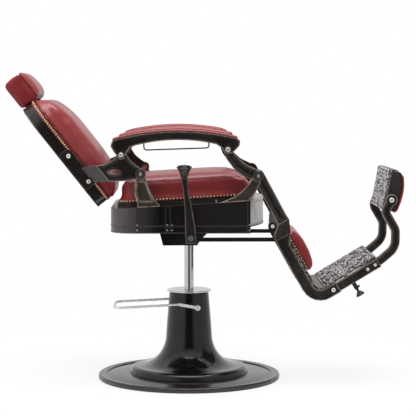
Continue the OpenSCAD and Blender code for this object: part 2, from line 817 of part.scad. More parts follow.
// Extrudes an outline in Y and up the back, from n0 to n1 in front of the pivot
module back_slab(outline, n0, n1) {
    translate([n0, 0, 0]) rotate([90, 0, 90]) linear_extrude(n1 - n0) polygon(outline);
}
module back_frame() {
    n0 = -band_back - band_depth;
    n1 = -band_back;
    color("#2b211c") on_back() difference() {
        back_slab(back_outline(0), n0, n1);
        back_slab(back_outline(band_t), n0 - 1, n1 + 1);
        both_sides() translate([post_n, post_y, back_len - 10]) cylinder(d = post_d + 1.2, h = 20);
        both_sides() wing_screw_places() translate([0, 0, -10]) cylinder(r = 3.1, h = 20);
    }
}
module back_panel() {
    n0 = -band_back - band_depth;
    color("#96373c") on_back() back_slab(back_outline(band_t - 1.5), n0 - 8, n0 - gap);
}
module back_board() {
    color("peru") on_back() back_slab(back_outline(band_t + gap), board_n - back_board_t, board_n);
}
module back_cushion() {
    n = -band_back + gap;
    crown = -band_back + back_crown;
    side = band_out - 4;
    color("#96373c") on_back() intersection() {
        plate_y([
            [n, 4], [n + 12, -12], [n + 38, 18], [n + 55, 60], [crown - 11, 0.28 * back_len],
            [crown - 4, 0.37 * back_len], [crown, 0.51 * back_len], [crown - 3, 0.64 * back_len],
            [crown - 11, 0.75 * back_len], [crown - 22, back_len - 66], [n + 40, back_len - 26],
            [n + 26, back_len - 8], [n + 10, back_len - 1], [n, back_len - 2]
        ], -side, side);
        translate([0, 0, -50]) linear_extrude(back_len + 100) polygon([
            [n, -side + 3], [n + 12, -side], [n + 40, -side + 8], [crown - 10, -side + 50], [crown + 1, 0],
            [crown - 10, side - 50], [n + 40, side - 8], [n + 12, side], [n, side - 3]
        ]);
        back_slab(rounded([
            [-side, -20, 30], [side, -20, 30], [side, back_len, 96], [-side, back_len, 96]
        ]), n - 1, crown + 20);
    }
}
module post_sleeves() {
    block = 22;
    color("gray") on_back() both_sides() difference() {
        translate([post_n - block / 2, post_y - block / 2, back_len - 118]) cube([block, block, 110]);
        translate([post_n, post_y, 0]) cylinder(d = post_d + 0.2, h = back_len);
    }
}
module wing_screw_places() {
    for (u = [96, 215]) translate([-band_back - 21, band_out, u]) rotate([-90, 0, 0]) children();
}
module wing_brackets() {
    b = back_pivot_to_arm();
    tongue_t = 6;
    color("#231a16") on_back() both_sides() difference() {
        union() {
            plate_y(rounded([
                [-band_back - 48, 75, 12], [-band_back - 2, 75, 12], [-band_back - 2, 240, 12],
                [-band_back - 48, 240, 12]
            ]), band_out, band_out + tongue_t);
            hull() {
                plate_y([[-band_back - 10, 84], [-band_back - 2, 84], [-band_back - 2, 149],
                    [-band_back - 10, 149]], band_out, band_out + tongue_t);
                plate_y([[-110, 50], [-102, 45], [-102, 119], [-110, 126]], wing_in, wing_out);
            }
            plate_y(rounded([
                [-108, 124], [-85, 110, 60], [-60, 104, 60], [-30, 101.5, 20], [-14, 112], [0, 108],
                [4, 92, 20], [0, 63, 60], [8, 25, 60], [17, 6], [0, -18], [-30, -2, 80],
                [-61, 14, 90], [-98, 41, 90], [-108, 49]
            ]), wing_in, wing_out);
            pin_y([0, 0], 18, wing_in, wing_out);
            pin_y(b, 16, wing_in, wing_out);
        }
        plate_y(concat(bow([-92, 79], [-57, 51], 8, 8), bow([-57, 51], [-92, 79], 6, 8)), wing_in - 1, wing_out + 1);
        pin_y([0, 0], main_pin_r + fit, wing_in - 1, wing_out + 1);
        pin_y(b, arm_pin_r + fit, wing_in - 1, wing_out + 1);
        wing_screw_places() translate([0, 0, -1]) cylinder(r = 3.1, h = 10);
    }
}
// Rear arm pivot as seen from the recline pivot, in the back's own directions
function back_pivot_to_arm() =
    let (v = pivot_b - pivot_a)
    [v.x * cos(back_lean) + v.y * sin(back_lean), -v.x * sin(back_lean) + v.y * cos(back_lean)];
module wing_fasteners() {
    color("silver") {
        on_back() both_sides() wing_screw_places() {
            translate([0, 0, -12]) cylinder(r = 3, h = 19);
            translate([0, 0, 6 + gap]) cylinder(r = 8, h = 3);
        }
        at_seat() both_sides() {
            pin_y(pivot_b, arm_pin_r, arm_in - 2, arm_out + 1);
            pin_y(pivot_b, 9, arm_out + gap, arm_out + 3);
        }
    }
}
module headrest_block() {
    n1 = -band_back + 20;
    n0 = n1 - head_depth;
    color("#96373c") on_back() difference() {
        plate_y(rounded([
            [n0, head_z, 8], [n1, head_z, 4], [n1, head_z + head_h, 10], [n0, head_z + head_h, 14]
        ]), -head_w / 2, head_w / 2);
        both_sides() translate([post_n, post_y, head_z - 1]) cylinder(d = post_d + 0.2, h = 61);
    }
}
module headrest_pad() {
    n1 = -band_back + 20 + gap;
    color("#96373c") on_back() plate_y(concat(
        [[n1, head_z + head_h - 4]],
        bow([n1 + 8, head_z + head_h - 2], [n1 + 12, head_z + 6], head_pad_t - 12, 8),
        [[n1, head_z + 12]]
    ), -head_w / 2 + 2, head_w / 2 - 2);
}
module headrest_posts() {
    color("silver") on_back() both_sides() {
        translate([post_n, post_y, head_z - 160]) cylinder(d = post_d, h = 218);
    }
}

// ---- Arms ----

function arm_outline() = rounded(concat(
    bow(arm_top[0], arm_top[1], arm_bow, 18),
    [[186, 340, 6], [183, 322, 14], [160, 298, 6], [pivot_c.x, pivot_c.y - 18, 14], [126, 300], [118, 315, 10]],
    bow([98, 328], [-190, 325], -17, 14),
    [[-214, 318, 14], [-229, 296], [pivot_b.x, pivot_b.y - 17, 12], [-272, 296, 20], [-287, 322, 14]]
));
module arm(side) {
    slot_in = wing_in - side_gap * 0.75;
    slot_out = wing_out + side_gap * 0.75;
    b = pivot_b;
    c = pivot_c;
    mirror([0, side < 0 ? 1 : 0, 0]) color("#2f2520") at_seat() difference() {
        union() {
            plate_y(arm_outline(), arm_in, arm_out);
            pin_y(b, 17, arm_in, arm_out);
            pin_y(c, 16, arm_in, arm_out);
        }
        translate([b.x - 60, slot_in, b.y - 40]) cube([102, slot_out - slot_in, 61]);
        translate([c.x - 36, slot_in, c.y - 40]) cube([92, slot_out - slot_in, 62]);
        pin_y(b, arm_pin_r + fit, arm_in - 1, arm_out + 1);
        pin_y(c, arm_pin_r + arm_play, arm_in - 1, arm_out + 1);
    }
}
module arm_pad(side) {
    lift = [0, gap];
    low = bow(arm_top[0] + lift, arm_top[1] + lift, arm_bow, 18);
    top = bow(arm_top[1] + [-2, 5], arm_top[0] + [2, 5], -arm_bow - arm_pad_t + 5, 18);
    mirror([0, side < 0 ? 1 : 0, 0]) color("#96373c") at_seat()
        plate_y(concat(low, top), arm_in - 3, arm_out + 3);
}
module towel_bar() {
    bend_r = 10;
    low = 306;
    high = 314;
    span = 238;
    tilt = atan2(high - low, span);
    color("#3d2f2a") at_seat() difference() {
        translate([-165, -arm_mid, low]) rotate([0, -tilt, 0]) {
            rod([bend_r, 0, 0], [span - bend_r, 0, 0], towel_d);
            rod([0, 0, bend_r], [0, 0, 32], towel_d);
            rod([span, 0, bend_r], [span, 0, 28], towel_d);
            translate([bend_r, 0, bend_r]) rotate([-90, 90, 0]) bend(bend_r, towel_d);
            translate([span - bend_r, 0, bend_r]) rotate([-90, 0, 0]) bend(bend_r, towel_d);
        }
        plate_y(arm_outline(), -arm_mid - 10, -arm_mid + 10);
    }
}

// ---- Leg rest ----

function link_pin() = [bar_eye.x - pivot_d.x, bar_eye.y - pivot_d.y];
function arm_pin() = pivot_c - pivot_d;
module leg_frames() {
    c = arm_pin();
    e = link_pin();
    heel = [calf_at(0, -leg_depth / 2), [0, 0], tread_at(52, -leg_depth / 2)];
    corner = line_meet(heel[0], calf_dir, heel[2], tread_dir);
    color("#2b201b") at_leg() both_sides() difference() {
        union() {
            plate_y(rounded([
                [c.x - 16, c.y], [-118, 62, 60], [-88, 22, 60], [-44, -10, 60], [-18, -14, 10], [5, -54, 20],
                [39, -117], [75, -183], [114, -162], [96, -132], [62, -68], [21, 8], [-6, 22, 10],
                [-44, 40, 60], [-82, 73, 60], [c.x + 16, c.y]
            ]), wing_in, wing_out);
            pin_y(c, 17, wing_in, wing_out);
            pin_y([0, 0], 22, wing_in, wing_out);
            hull() {
                plate_y([[72, -178], [75, -183], [114, -162], [111, -157]], wing_in, wing_out);
                plate_y([[64, -242], [66, -246], [125, -217], [124, -211]], foot_half_w, leg_out);
            }
            plate_y([[64, -240], [124, -211], calf_at(0, 0), calf_at(6, 0), calf_at(6, -leg_depth),
                calf_at(0, -leg_depth)], foot_half_w, leg_out);
            pin_y(e, 17, foot_half_w, leg_out);
            plate_y(strip([calf_at(0, -leg_depth / 2), [corner.x, corner.y, heel_r + leg_depth / 2],
                tread_at(52, -leg_depth / 2)], leg_depth), foot_half_w, leg_out);
        }
        pin_y(c, arm_pin_r + fit, wing_in - 1, wing_out + 1);
        pin_y([0, 0], main_pin_r + fit, wing_in - 1, wing_out + 1);
        pin_y(e, 5 + fit, foot_half_w - 1, leg_out + 1);
        rail_bar(-1, 60, 0.3);
        pin_y(tread_at(heel_bolt, -leg_depth / 2), rail_bolt_r + 0.1, rail_in + rail_t, leg_out + 1);
    }
}
// A bar of the rail's section from s0 to s1 along the tread, grown by grow
module rail_bar(s0, s1, grow) {
    d0 = -leg_depth / 2 - rail_depth / 2 - grow;
    d1 = -leg_depth / 2 + rail_depth / 2 + grow;
    plate_y([tread_at(s0, d0), tread_at(s1, d0), tread_at(s1, d1), tread_at(s0, d1)],
        rail_in - grow, rail_in + rail_t + grow);
}
module footrest_rails() {
    mid = -leg_depth / 2;
    color("#2b201b") at_leg() both_sides() difference() {
        rail_bar(0, tread_len, 0);
        for (s = toe_bolts) pin_y(tread_at(s, mid), rail_bolt_r + 0.1, rail_in - 1, rail_in + rail_t + 1);
        pin_y(tread_at(heel_bolt, mid), rail_bolt_r + 0.1, rail_in - 1, rail_in + rail_t + 1);
    }
}
module footplate() {
    half = foot_half_w + 11;
    color("#8d8a88") at_leg() plate_y(rounded([
        calf_at(0, 0), [foot_corner.x, foot_corner.y, heel_r], tread_at(tread_len, 0),
        tread_at(tread_len, footplate_t), plate_corner(), calf_at(0, footplate_t)
    ]), -half, half);
}
// The footplate's inner corner, with its radius
function plate_corner() =
    let (p = line_meet(calf_at(0, footplate_t), calf_dir, tread_at(0, footplate_t), tread_dir))
    [p.x, p.y, heel_r - footplate_t];
module calf_cushion() {
    d = footplate_t + gap;
    t = calf_t;
    half = foot_half_w - 9;
    color("#96373c") at_leg() plate_y([
        calf_at(-10, d), calf_at(120, d), calf_at(128, d + 11), calf_at(126, d + 25), calf_at(112, d + 0.73 * t),
        calf_at(64, d + 0.94 * t), calf_at(14, d + 0.98 * t), calf_at(-24, d + 0.86 * t),
        calf_at(-41, d + 0.66 * t), calf_at(-36, d + 9)
    ], -half, half);
}
module s_arms() {
    p = flip_pivot - pivot_d;
    toe_at = tread_at(tread_len + 14, -s_arm_w / 2 - 1.5);
    toe = [toe_at.x, toe_at.y, 90];
    path = [
        tread_at(150, -leg_depth / 2), toe, [p.x + 15, p.y - 179, 60], [p.x + 16, p.y - 112, 45],
        [p.x - 24, p.y - 44, 28], [p.x, p.y, 0]
    ];
    color("#2b201b") at_leg() both_sides() difference() {
        union() {
            plate_y(strip(path, s_arm_w), s_arm_in, s_arm_out);
            pin_y(p, 22, s_arm_in, s_arm_out);
        }
        pin_y(p, 6 + fit, s_arm_in - 1, s_arm_out + 1);
        for (s = toe_bolts) pin_y(tread_at(s, -leg_depth / 2), rail_bolt_r + 0.1, s_arm_in - 1, s_arm_out + 1);
    }
}
module leg_fasteners() {
    p = flip_pivot - pivot_d;
    mid = -leg_depth / 2;
    rail_out = rail_in + rail_t;
    color("silver") at_leg() both_sides() {
        pin_y(arm_pin(), arm_pin_r, arm_in - 2, arm_out + 1);
        pin_y(arm_pin(), 9, arm_out + gap, arm_out + 3);
        pin_y(link_pin(), 5, bar_y - bar_t / 2 - 1, leg_out - 1);
        pin_y(link_pin(), 8, bar_y - bar_t / 2 - 4, bar_y - bar_t / 2 - gap);
        pin_y(tread_at(heel_bolt, mid), rail_bolt_r, rail_in, leg_out + 1);
        pin_y(tread_at(heel_bolt, mid), 7, leg_out + gap, leg_out + 3);
        for (s = toe_bolts) {
            pin_y(tread_at(s, mid), rail_bolt_r, s_arm_in, rail_out + 1);
            pin_y(tread_at(s, mid), 5, rail_out + gap, rail_out + 3);
        }
        pin_y(p, 6, flip_half - 28, s_arm_out + 1);
        pin_y(p, 9, s_arm_out + gap, s_arm_out + 4);
    }
}
module bumper_places() {
    d = -leg_depth / 2 - rail_depth / 2;
    p = tread_at(108, d);
    both_sides() translate([p.x, rail_in + rail_t / 2, p.y])
        rotate([0, 180 - atan2(tread_dir.y, tread_dir.x), 0]) children();
}
module bumper_stems() {
    color("#1b1716") at_leg() bumper_places() {
        cylinder(r = 5, h = 44);
        cylinder(r = 8, h = 26);
        translate([-15, 0, 20]) rotate([0, 90, 0]) cylinder(r = 4, h = 12);
    }
}
module bumper_tips() {
    r = bumper_d / 2;
    color("black") at_leg() bumper_places() translate([0, 0, 40]) difference() {
        rotate_extrude() polygon([[0, -2], [8, -2], [r - 3, 6], [r, 9], [r - 1, 13], [0, 13]]);
        translate([0, 0, -3]) cylinder(r = 5.05, h = 7 + gap);
    }
}

// ---- Flip footrest and link bars ----

module flip_core() {
    color("#1d1715") on_flip() difference() {
        plate_y(rounded([
            [-16, -46, 8], [26, -40, 14], [31, 30, 60], [24, 100, 10], [8, 106, 6], [-16, 106]
        ]), -flip_half, flip_half);
        both_sides() pin_y([0, 0], 6 + fit, flip_half - 30, flip_half + 1);
    }
}
module flip_tread() {
    color("#8d8a88") on_flip() plate_y(rounded([
        [-24, -44, 3], [-16, -44], [-16, 106], [8, 106], [8, 113, 3], [-24, 113, 8]
    ]), -flip_half, flip_half);
}
module flip_cushion() {
    color("#96373c") on_flip() plate_y([
        [26 + gap, -40], [14, -46 - gap], [20, -50], [31, -46], [40, -4], [43, 32], [40, 64], [30, 98],
        [16, 109], [9, 106], [24.5 + gap, 100], [31 + gap, 30]
    ], -flip_half + 2, flip_half - 2);
}
module link_bars() {
    e = bar_eye;
    color("#161312") at_seat() both_sides() difference() {
        union() {
            translate([-102, bar_y - bar_t / 2, e.y - bar_drop - bar_h]) cube([102 + e.x - 4, bar_t, bar_h]);
            pin_y(e, 17, bar_y - bar_t / 2, bar_y + bar_t / 2);
        }
        pin_y(e, 5 + fit, bar_y - bar_t, bar_y + bar_t);
    }
}

floor_plate();
base_dish();
base_rim();
column_skirt();
column_collar();
pump_cylinder();
pump_head();
pump_body();
gland_bush();
ram_seal();
pump_bolts();
pedal_loop();
pedal_shaft();
pump_crank();
pump_plunger();
plunger_spring();
ram();
ram_guide();
thrust_washer();
swivel_hub();
seat_carrier();
seat_bolts();
seat_box();
front_panel();
seat_board();
seat_cushion();
rear_brackets();
front_brackets();
bracket_pins();
brake_guides();
lever_handle();
lever_knob();
lever_shaft();
back_frame();
back_panel();
back_board();
back_cushion();
post_sleeves();
wing_brackets();
wing_fasteners();
headrest_block();
headrest_pad();
headrest_posts();
arm(-1);  // arm_right
arm(1);  // arm_left
arm_pad(-1);  // arm_pad_right
arm_pad(1);  // arm_pad_left
towel_bar();
leg_frames();
footplate();
calf_cushion();
footrest_rails();
s_arms();
leg_fasteners();
bumper_stems();
bumper_tips();
flip_core();
flip_tread();
flip_cushion();
link_bars();
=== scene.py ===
import json
import math

import bmesh
import bpy
import numpy as np
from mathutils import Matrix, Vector
from mathutils.bvhtree import BVHTree
from mathutils.geometry import delaunay_2d_cdt

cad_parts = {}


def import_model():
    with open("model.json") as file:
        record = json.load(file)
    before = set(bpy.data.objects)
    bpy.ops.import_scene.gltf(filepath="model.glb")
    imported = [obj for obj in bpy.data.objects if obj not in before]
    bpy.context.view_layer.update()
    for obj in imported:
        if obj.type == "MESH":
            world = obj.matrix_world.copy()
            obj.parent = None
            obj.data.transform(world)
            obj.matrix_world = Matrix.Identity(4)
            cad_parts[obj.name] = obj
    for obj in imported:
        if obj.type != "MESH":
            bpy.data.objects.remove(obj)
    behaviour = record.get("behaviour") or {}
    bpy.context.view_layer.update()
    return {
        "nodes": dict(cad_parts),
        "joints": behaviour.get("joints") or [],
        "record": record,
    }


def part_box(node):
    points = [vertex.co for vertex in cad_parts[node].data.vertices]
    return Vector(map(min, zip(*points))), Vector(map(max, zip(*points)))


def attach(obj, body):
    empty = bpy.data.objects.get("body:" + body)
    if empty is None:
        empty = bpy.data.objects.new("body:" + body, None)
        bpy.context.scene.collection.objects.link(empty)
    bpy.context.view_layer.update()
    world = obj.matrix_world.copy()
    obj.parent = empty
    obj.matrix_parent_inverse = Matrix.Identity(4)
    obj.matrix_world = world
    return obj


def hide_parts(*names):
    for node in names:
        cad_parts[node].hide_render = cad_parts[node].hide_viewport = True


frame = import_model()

# Hydraulic barber chair: leather, castings, enamel and chrome around the fixed frame.
# Metres in the frame; helper shapes take millimetres in a part's own directions.

MM = 0.001


# ---- Places: a part's own directions ----

PIVOT = {joint["name"]: np.array(joint["pos_m"]) for joint in frame["joints"] if joint.get("pos_m")}


class Place:
    """An origin with one direction forward and one up in the plane of the chair's side, turned by an angle."""

    def __init__(self, origin, turn):
        a = math.radians(turn)
        self.origin = np.array(origin, float)
        self.forward = np.array([math.cos(a), 0.0, math.sin(a)])
        self.up = np.array([-math.sin(a), 0.0, math.cos(a)])
        self.across = np.array([0.0, 1.0, 0.0])

    def __call__(self, x, y, z):
        """Points at x forward, y across and z up in millimetres, as rows in metres."""
        x, y, z = (np.asarray(v, float)[..., None] * MM for v in np.broadcast_arrays(x, y, z))
        return self.origin + x * self.forward + y * self.across + z * self.up

    def local(self, points):
        """The forward, across and up distances of points, in millimetres."""
        away = (np.asarray(points, float) - self.origin) / MM
        return np.stack([away @ self.forward, away @ self.across, away @ self.up], -1)


SEAT_TILT = 3.4
BACK_LEAN = 38.3
CALF_TURN = 29.376
TREAD_TURN = 31.0
FLIP_TURN = -10.7
FLOOR = Place((0, 0, 0), 0)
BOX = Place((0, 0, 0.587), 0)
SEAT = Place((0, 0, 0.693), SEAT_TILT)
BACK = Place(PIVOT["back_recline"], BACK_LEAN)
LEG = Place(PIVOT["leg_rest_pivot"], 0)
CALF = Place(LEG(121, 0, -262), CALF_TURN)
TREAD = Place(LEG(250, 0, -431), TREAD_TURN)
FLIP = Place(PIVOT["footrest_flip"], FLIP_TURN)
FLIP_FACE = Place(PIVOT["footrest_flip"], FLIP_TURN + 90)


# ---- Finishes ----

class Tree:
    """Short calls that add and link nodes in one shader tree."""

    def __init__(self, tree):
        self.tree = tree

    def add(self, kind, inputs=(), **settings):
        node = self.tree.nodes.new(kind)
        for key, value in settings.items():
            setattr(node, key, value)
        for key, value in dict(inputs).items():
            self.set(node, key, value)
        return node

    def set(self, node, key, value):
        if isinstance(value, bpy.types.NodeSocket):
            self.tree.links.new(value, node.inputs[key])
        else:
            node.inputs[key].default_value = value

    def ranged(self, value, low, high, to_low, to_high, **settings):
        inputs = {"Value": value, "From Min": low, "From Max": high, "To Min": to_low, "To Max": to_high}
        return self.add("ShaderNodeMapRange", inputs, **settings).outputs[0]

    def math(self, operation, a, b):
        return self.add("ShaderNodeMath", {0: a, 1: b}, operation=operation).outputs[0]


class Nodes(Tree):
    """The tree of a new material, with its main shader and the place of a point on the piece."""

    def __init__(self, name):
        self.material = bpy.data.materials.new(name)
        self.material.use_nodes = True
        super().__init__(self.material.node_tree)
        self.shader = self.tree.nodes["Principled BSDF"]
        self.place = self.add("ShaderNodeTexCoord").outputs["Object"]

    def stretched(self, scale):
        return self.add("ShaderNodeMapping", {"Vector": self.place, "Scale": scale}).outputs[0]

    def noise(self, scale, detail=3.0, vector=None, roughness=0.5):
        inputs = {"Vector": vector or self.place, "Scale": scale, "Detail": detail, "Roughness": roughness}
        return self.add("ShaderNodeTexNoise", inputs).outputs["Fac"]

    def mixed(self, factor, a, b):
        node = self.add("ShaderNodeMix", {0: factor}, data_type="RGBA")
        for key, value in ((6, a), (7, b)):
            self.set(node, key, value if isinstance(value, bpy.types.NodeSocket) else (*value, 1.0))
        return node.outputs[2]

    def edge(self, radius):
        """How far the normal rounded over the radius leans from the true one, about 1 along sharp edges, and
        that rounded normal."""
        rounded = self.add("ShaderNodeBevel", {"Radius": radius}, samples=6).outputs[0]
        true = self.add("ShaderNodeNewGeometry").outputs["Normal"]
        lean = self.add("ShaderNodeVectorMath", {0: rounded, 1: true}, operation="DOT_PRODUCT").outputs["Value"]
        return self.ranged(lean, 0.995, 0.86, 0.0, 1.0), rounded

    def bump(self, height, strength, distance, normal=None):
        inputs = {"Height": height, "Strength": strength, "Distance": distance}
        if normal is not None:
            inputs["Normal"] = normal
        self.set(self.shader, "Normal", self.add("ShaderNodeBump", inputs).outputs[0])

    def finish(self, **sockets):
        names = {"colour": "Base Color", "rough": "Roughness", "metal": "Metallic", "coat": "Coat Weight",
                 "coat_rough": "Coat Roughness", "specular": "Specular IOR Level"}
        for key, value in sockets.items():
            self.set(self.shader, names[key], value)
        return self.material


def casting_finish(name, dark, light, wear_and_highlight, rough=0.36, coat=0.15):
    """Antiqued casting: a dark body mottled with brown, painted lighter along its edges and the crest of its
    rims (the "crest" attribute) as highlight, partly edge wear, over fine sand grain."""
    n = Nodes(name)
    edge_mask, rounded = n.edge(0.0022)
    crest = n.add("ShaderNodeAttribute", attribute_name="crest").outputs["Fac"]
    mottle = n.ranged(n.noise(16.0, 6.0), 0.38, 0.68, 0.0, 1.0)
    body = n.mixed(mottle, dark, light)
    # painted highlight, partly edge wear: edges and rim crests lighter in colour
    wear_and_highlight_mask = n.math("MULTIPLY", n.math("MAXIMUM", edge_mask, crest), n.ranged(n.noise(45.0), 0.3, 0.6, 0.3, 1.0))
    n.bump(n.noise(420.0, 4.0), 0.25, 0.0006, rounded)
    return n.finish(
        colour=n.mixed(wear_and_highlight_mask, body, wear_and_highlight), rough=n.ranged(n.noise(34.0), 0.3, 0.7, rough - 0.07, rough + 0.1),
        metal=0.1, coat=coat, coat_rough=0.25, specular=0.45,
    )


def enamel_finish(name, dark, light, rough, coat, grain=0.0):
    """Stoved enamel: a deep even colour under a clear coat, with faint orange peel and dust, and painted highlights
    along its edges.
    """
    n = Nodes(name)
    edge_mask, rounded = n.edge(0.0015)
    cloud = n.ranged(n.noise(7.0, 4.0), 0.3, 0.7, 0.0, 1.0)
    n.bump(n.noise(grain or 90.0, 2.0), 0.35 if grain else 0.05, 0.0007, rounded)
    return n.finish(
        # painted highlight: edges lighter in colour
        colour=n.mixed(n.math("MULTIPLY", edge_mask, 0.4), n.mixed(cloud, dark, light), [c * 3 for c in light]),
        rough=n.ranged(n.noise(22.0), 0.3, 0.7, rough, rough + 0.08), coat=coat, coat_rough=0.1, specular=0.25,
    )


def metal_finish(name, colour, rough, streak=(1, 1, 1), shade=0.75, metal=1.0):
    """Bare or plated metal with faint polishing marks drawn out along one direction."""
    n = Nodes(name)
    marks = n.noise(180.0, 3.0, n.stretched(streak))
    dull = n.ranged(n.noise(9.0, 4.0), 0.35, 0.7, 1.0, shade)
    tone = n.mixed(dull, [c * shade for c in colour], colour)
    n.bump(marks, 0.04, 0.0003)
    return n.finish(colour=tone, rough=n.ranged(marks, 0.3, 0.7, rough, rough * 1.6 + 0.01), metal=metal)


def leather_finish():
    """Glossy oxblood hide: pebbled grain, darker in the pores, with slow changes of tone."""
    n = Nodes("oxblood_leather")
    tone = n.ranged(n.noise(5.0, 3.0), 0.3, 0.7, 0.0, 1.0)
    pebble = n.add("ShaderNodeTexVoronoi", {"Vector": n.place, "Scale": 430.0}, feature="F1").outputs["Distance"]
    crease = n.noise(26.0, 5.0, roughness=0.62)
    hide = n.mixed(tone, (0.195, 0.0185, 0.0205), (0.27, 0.03, 0.033))
    pore = n.ranged(pebble, 0.0, 0.55, 0.0, 0.18)
    height = n.math("ADD", n.math("MULTIPLY", pebble, -0.4), n.math("MULTIPLY", crease, 1.6))
    n.bump(height, 0.07, 0.0012)
    return n.finish(
        colour=n.mixed(pore, hide, (0.1, 0.0085, 0.01)), rough=n.ranged(crease, 0.3, 0.7, 0.27, 0.37),
        coat=0.12, coat_rough=0.14, specular=0.42,
    )


def shaded_welt_finish():
    """Piping cord under the same hide, painted darker than it as shade along the seams, with more painted shade in
    its stitched folds.
    """
    n = Nodes("welt_leather_painted_shade")
    fold = n.noise(240.0, 3.0)
    n.bump(fold, 0.3, 0.0006)
    # painted shade: a darker copy of the hide, darkest where the fold bump is low
    colour = n.mixed(fold, (0.08, 0.007, 0.0085), (0.15, 0.015, 0.017))
    return n.finish(colour=colour, rough=0.4, coat=0.1, coat_rough=0.2)


def tread_finish():
    """Antique silver relief: black paint left in the low ground, rubbed bright on the high."""
    n = Nodes("antique_silver_relief")
    high = n.add("ShaderNodeAttribute", attribute_name="relief").outputs["Fac"]
    rubbed = n.noise(1.0, 3.0, n.stretched((95.0, 16.0, 95.0)), 0.6)
    patchy = n.math("MULTIPLY", high, n.ranged(rubbed, 0.4, 0.56, 0.25, 1.25))
    colour = n.mixed(n.ranged(patchy, 0.3, 0.6, 0.0, 1.0), (0.012, 0.010, 0.010), (0.6, 0.565, 0.56))
    n.bump(n.noise(520.0, 3.0), 0.3, 0.0005)
    return n.finish(
        colour=colour, rough=n.ranged(patchy, 0.2, 0.8, 0.55, 0.33), metal=n.ranged(patchy, 0.3, 0.8, 0.1, 0.7),
    )


def silver_plate_finish():
    """The cast tread plates under their relief: brushed grey with dark casting pits."""
    n = Nodes("antique_silver_plate")
    edge_mask, rounded = n.edge(0.002)
    pits = n.ranged(n.noise(130.0, 6.0), 0.42, 0.62, 0.0, 1.0)
    n.bump(pits, 0.4, 0.0006, rounded)
    colour = n.mixed(n.math("MAXIMUM", pits, edge_mask), (0.03, 0.026, 0.025), (0.3, 0.28, 0.275))
    return n.finish(colour=colour, rough=0.42, metal=0.4)


def front_finish():
    """Satin polished front panel, clouded by handling, darker along its rim and foot."""
    n = Nodes("front_satin")
    edge_mask, rounded = n.edge(0.004)
    cloud = n.ranged(n.noise(24.0, 6.0), 0.35, 0.7, 0.0, 1.0)
    height = n.add("ShaderNodeSeparateXYZ", {0: n.place}).outputs["Z"]
    foot = n.ranged(height, 0.608, 0.622, 1.0, 0.0)
    body = n.mixed(cloud, (0.40, 0.39, 0.385), (0.60, 0.585, 0.575))
    n.bump(n.noise(300.0, 4.0), 0.15, 0.0005, rounded)
    colour = n.mixed(n.math("MAXIMUM", edge_mask, foot), body, (0.12, 0.11, 0.105))
    return n.finish(colour=colour, rough=n.ranged(cloud, 0.0, 1.0, 0.3, 0.42), metal=0.45)


def core_finish():
    """Black crackle coat on the footrest's core, with grey flecks rubbed out of the peaks."""
    n = Nodes("core_crackle")
    fleck = n.ranged(n.noise(150.0, 8.0, roughness=0.7), 0.55, 0.72, 0.0, 1.0)
    n.bump(n.noise(210.0, 6.0), 0.6, 0.0012)
    return n.finish(colour=n.mixed(fleck, (0.012, 0.011, 0.01), (0.10, 0.092, 0.085)), rough=0.5)


def box_finish():
    """Seat box enamel: a grey reflection painted towards the rounded back, painted highlights along its edges, sanded
    and flecked towards the front.
    """
    n = Nodes("box_enamel")
    edge_mask, rounded = n.edge(0.002)
    cloud = n.noise(14.0, 4.0, n.stretched((4, 4, 0.5)))
    along = n.add("ShaderNodeSeparateXYZ", {0: n.place}).outputs["X"]
    sanded = n.ranged(along, -0.1, 0.0, 0.0, 1.0)
    # painted reflection: the rear's rounded corner greyed in colour
    bloom_and_sheen = n.math("MULTIPLY", n.ranged(along, -0.29, -0.11, 1.0, 0.0), n.ranged(cloud, 0.3, 0.7, 0.6, 1.0))
    fleck = n.ranged(n.noise(120.0, 9.0, roughness=0.75), 0.56, 0.75, 0.0, 0.55)
    body = n.mixed(n.math("MULTIPLY", sanded, fleck), (0.0045, 0.0035, 0.0034), (0.06, 0.05, 0.046))
    body = n.mixed(bloom_and_sheen, body, (0.1, 0.09, 0.092))
    n.bump(n.noise(260.0, 6.0), 0.35, 0.0008, rounded)
    return n.finish(
        # painted highlight: edges lighter in colour
        colour=n.mixed(n.math("MULTIPLY", edge_mask, 0.6), body, (0.13, 0.11, 0.1)),
        rough=n.ranged(sanded, 0.0, 1.0, 0.24, 0.45), coat=0.25, coat_rough=0.18, specular=0.3,
    )


def board_finish():
    """Black-stained board: growth rings seen as wavering bands under the stain."""
    n = Nodes("stained_board")
    rings = n.noise(9.0, 4.0, n.stretched((1, 8, 20)))
    n.bump(rings, 0.2, 0.0005)
    return n.finish(colour=n.mixed(rings, (0.009, 0.007, 0.006), (0.03, 0.021, 0.016)), rough=0.55)


def rubber_finish():
    """Moulded black rubber, matt, with a faint bloom."""
    n = Nodes("moulded_rubber")
    bloom_and_sheen = n.noise(45.0, 5.0)
    n.bump(n.noise(380.0), 0.2, 0.0005)
    return n.finish(colour=n.mixed(bloom_and_sheen, (0.008, 0.008, 0.008), (0.035, 0.034, 0.033)), rough=0.62)


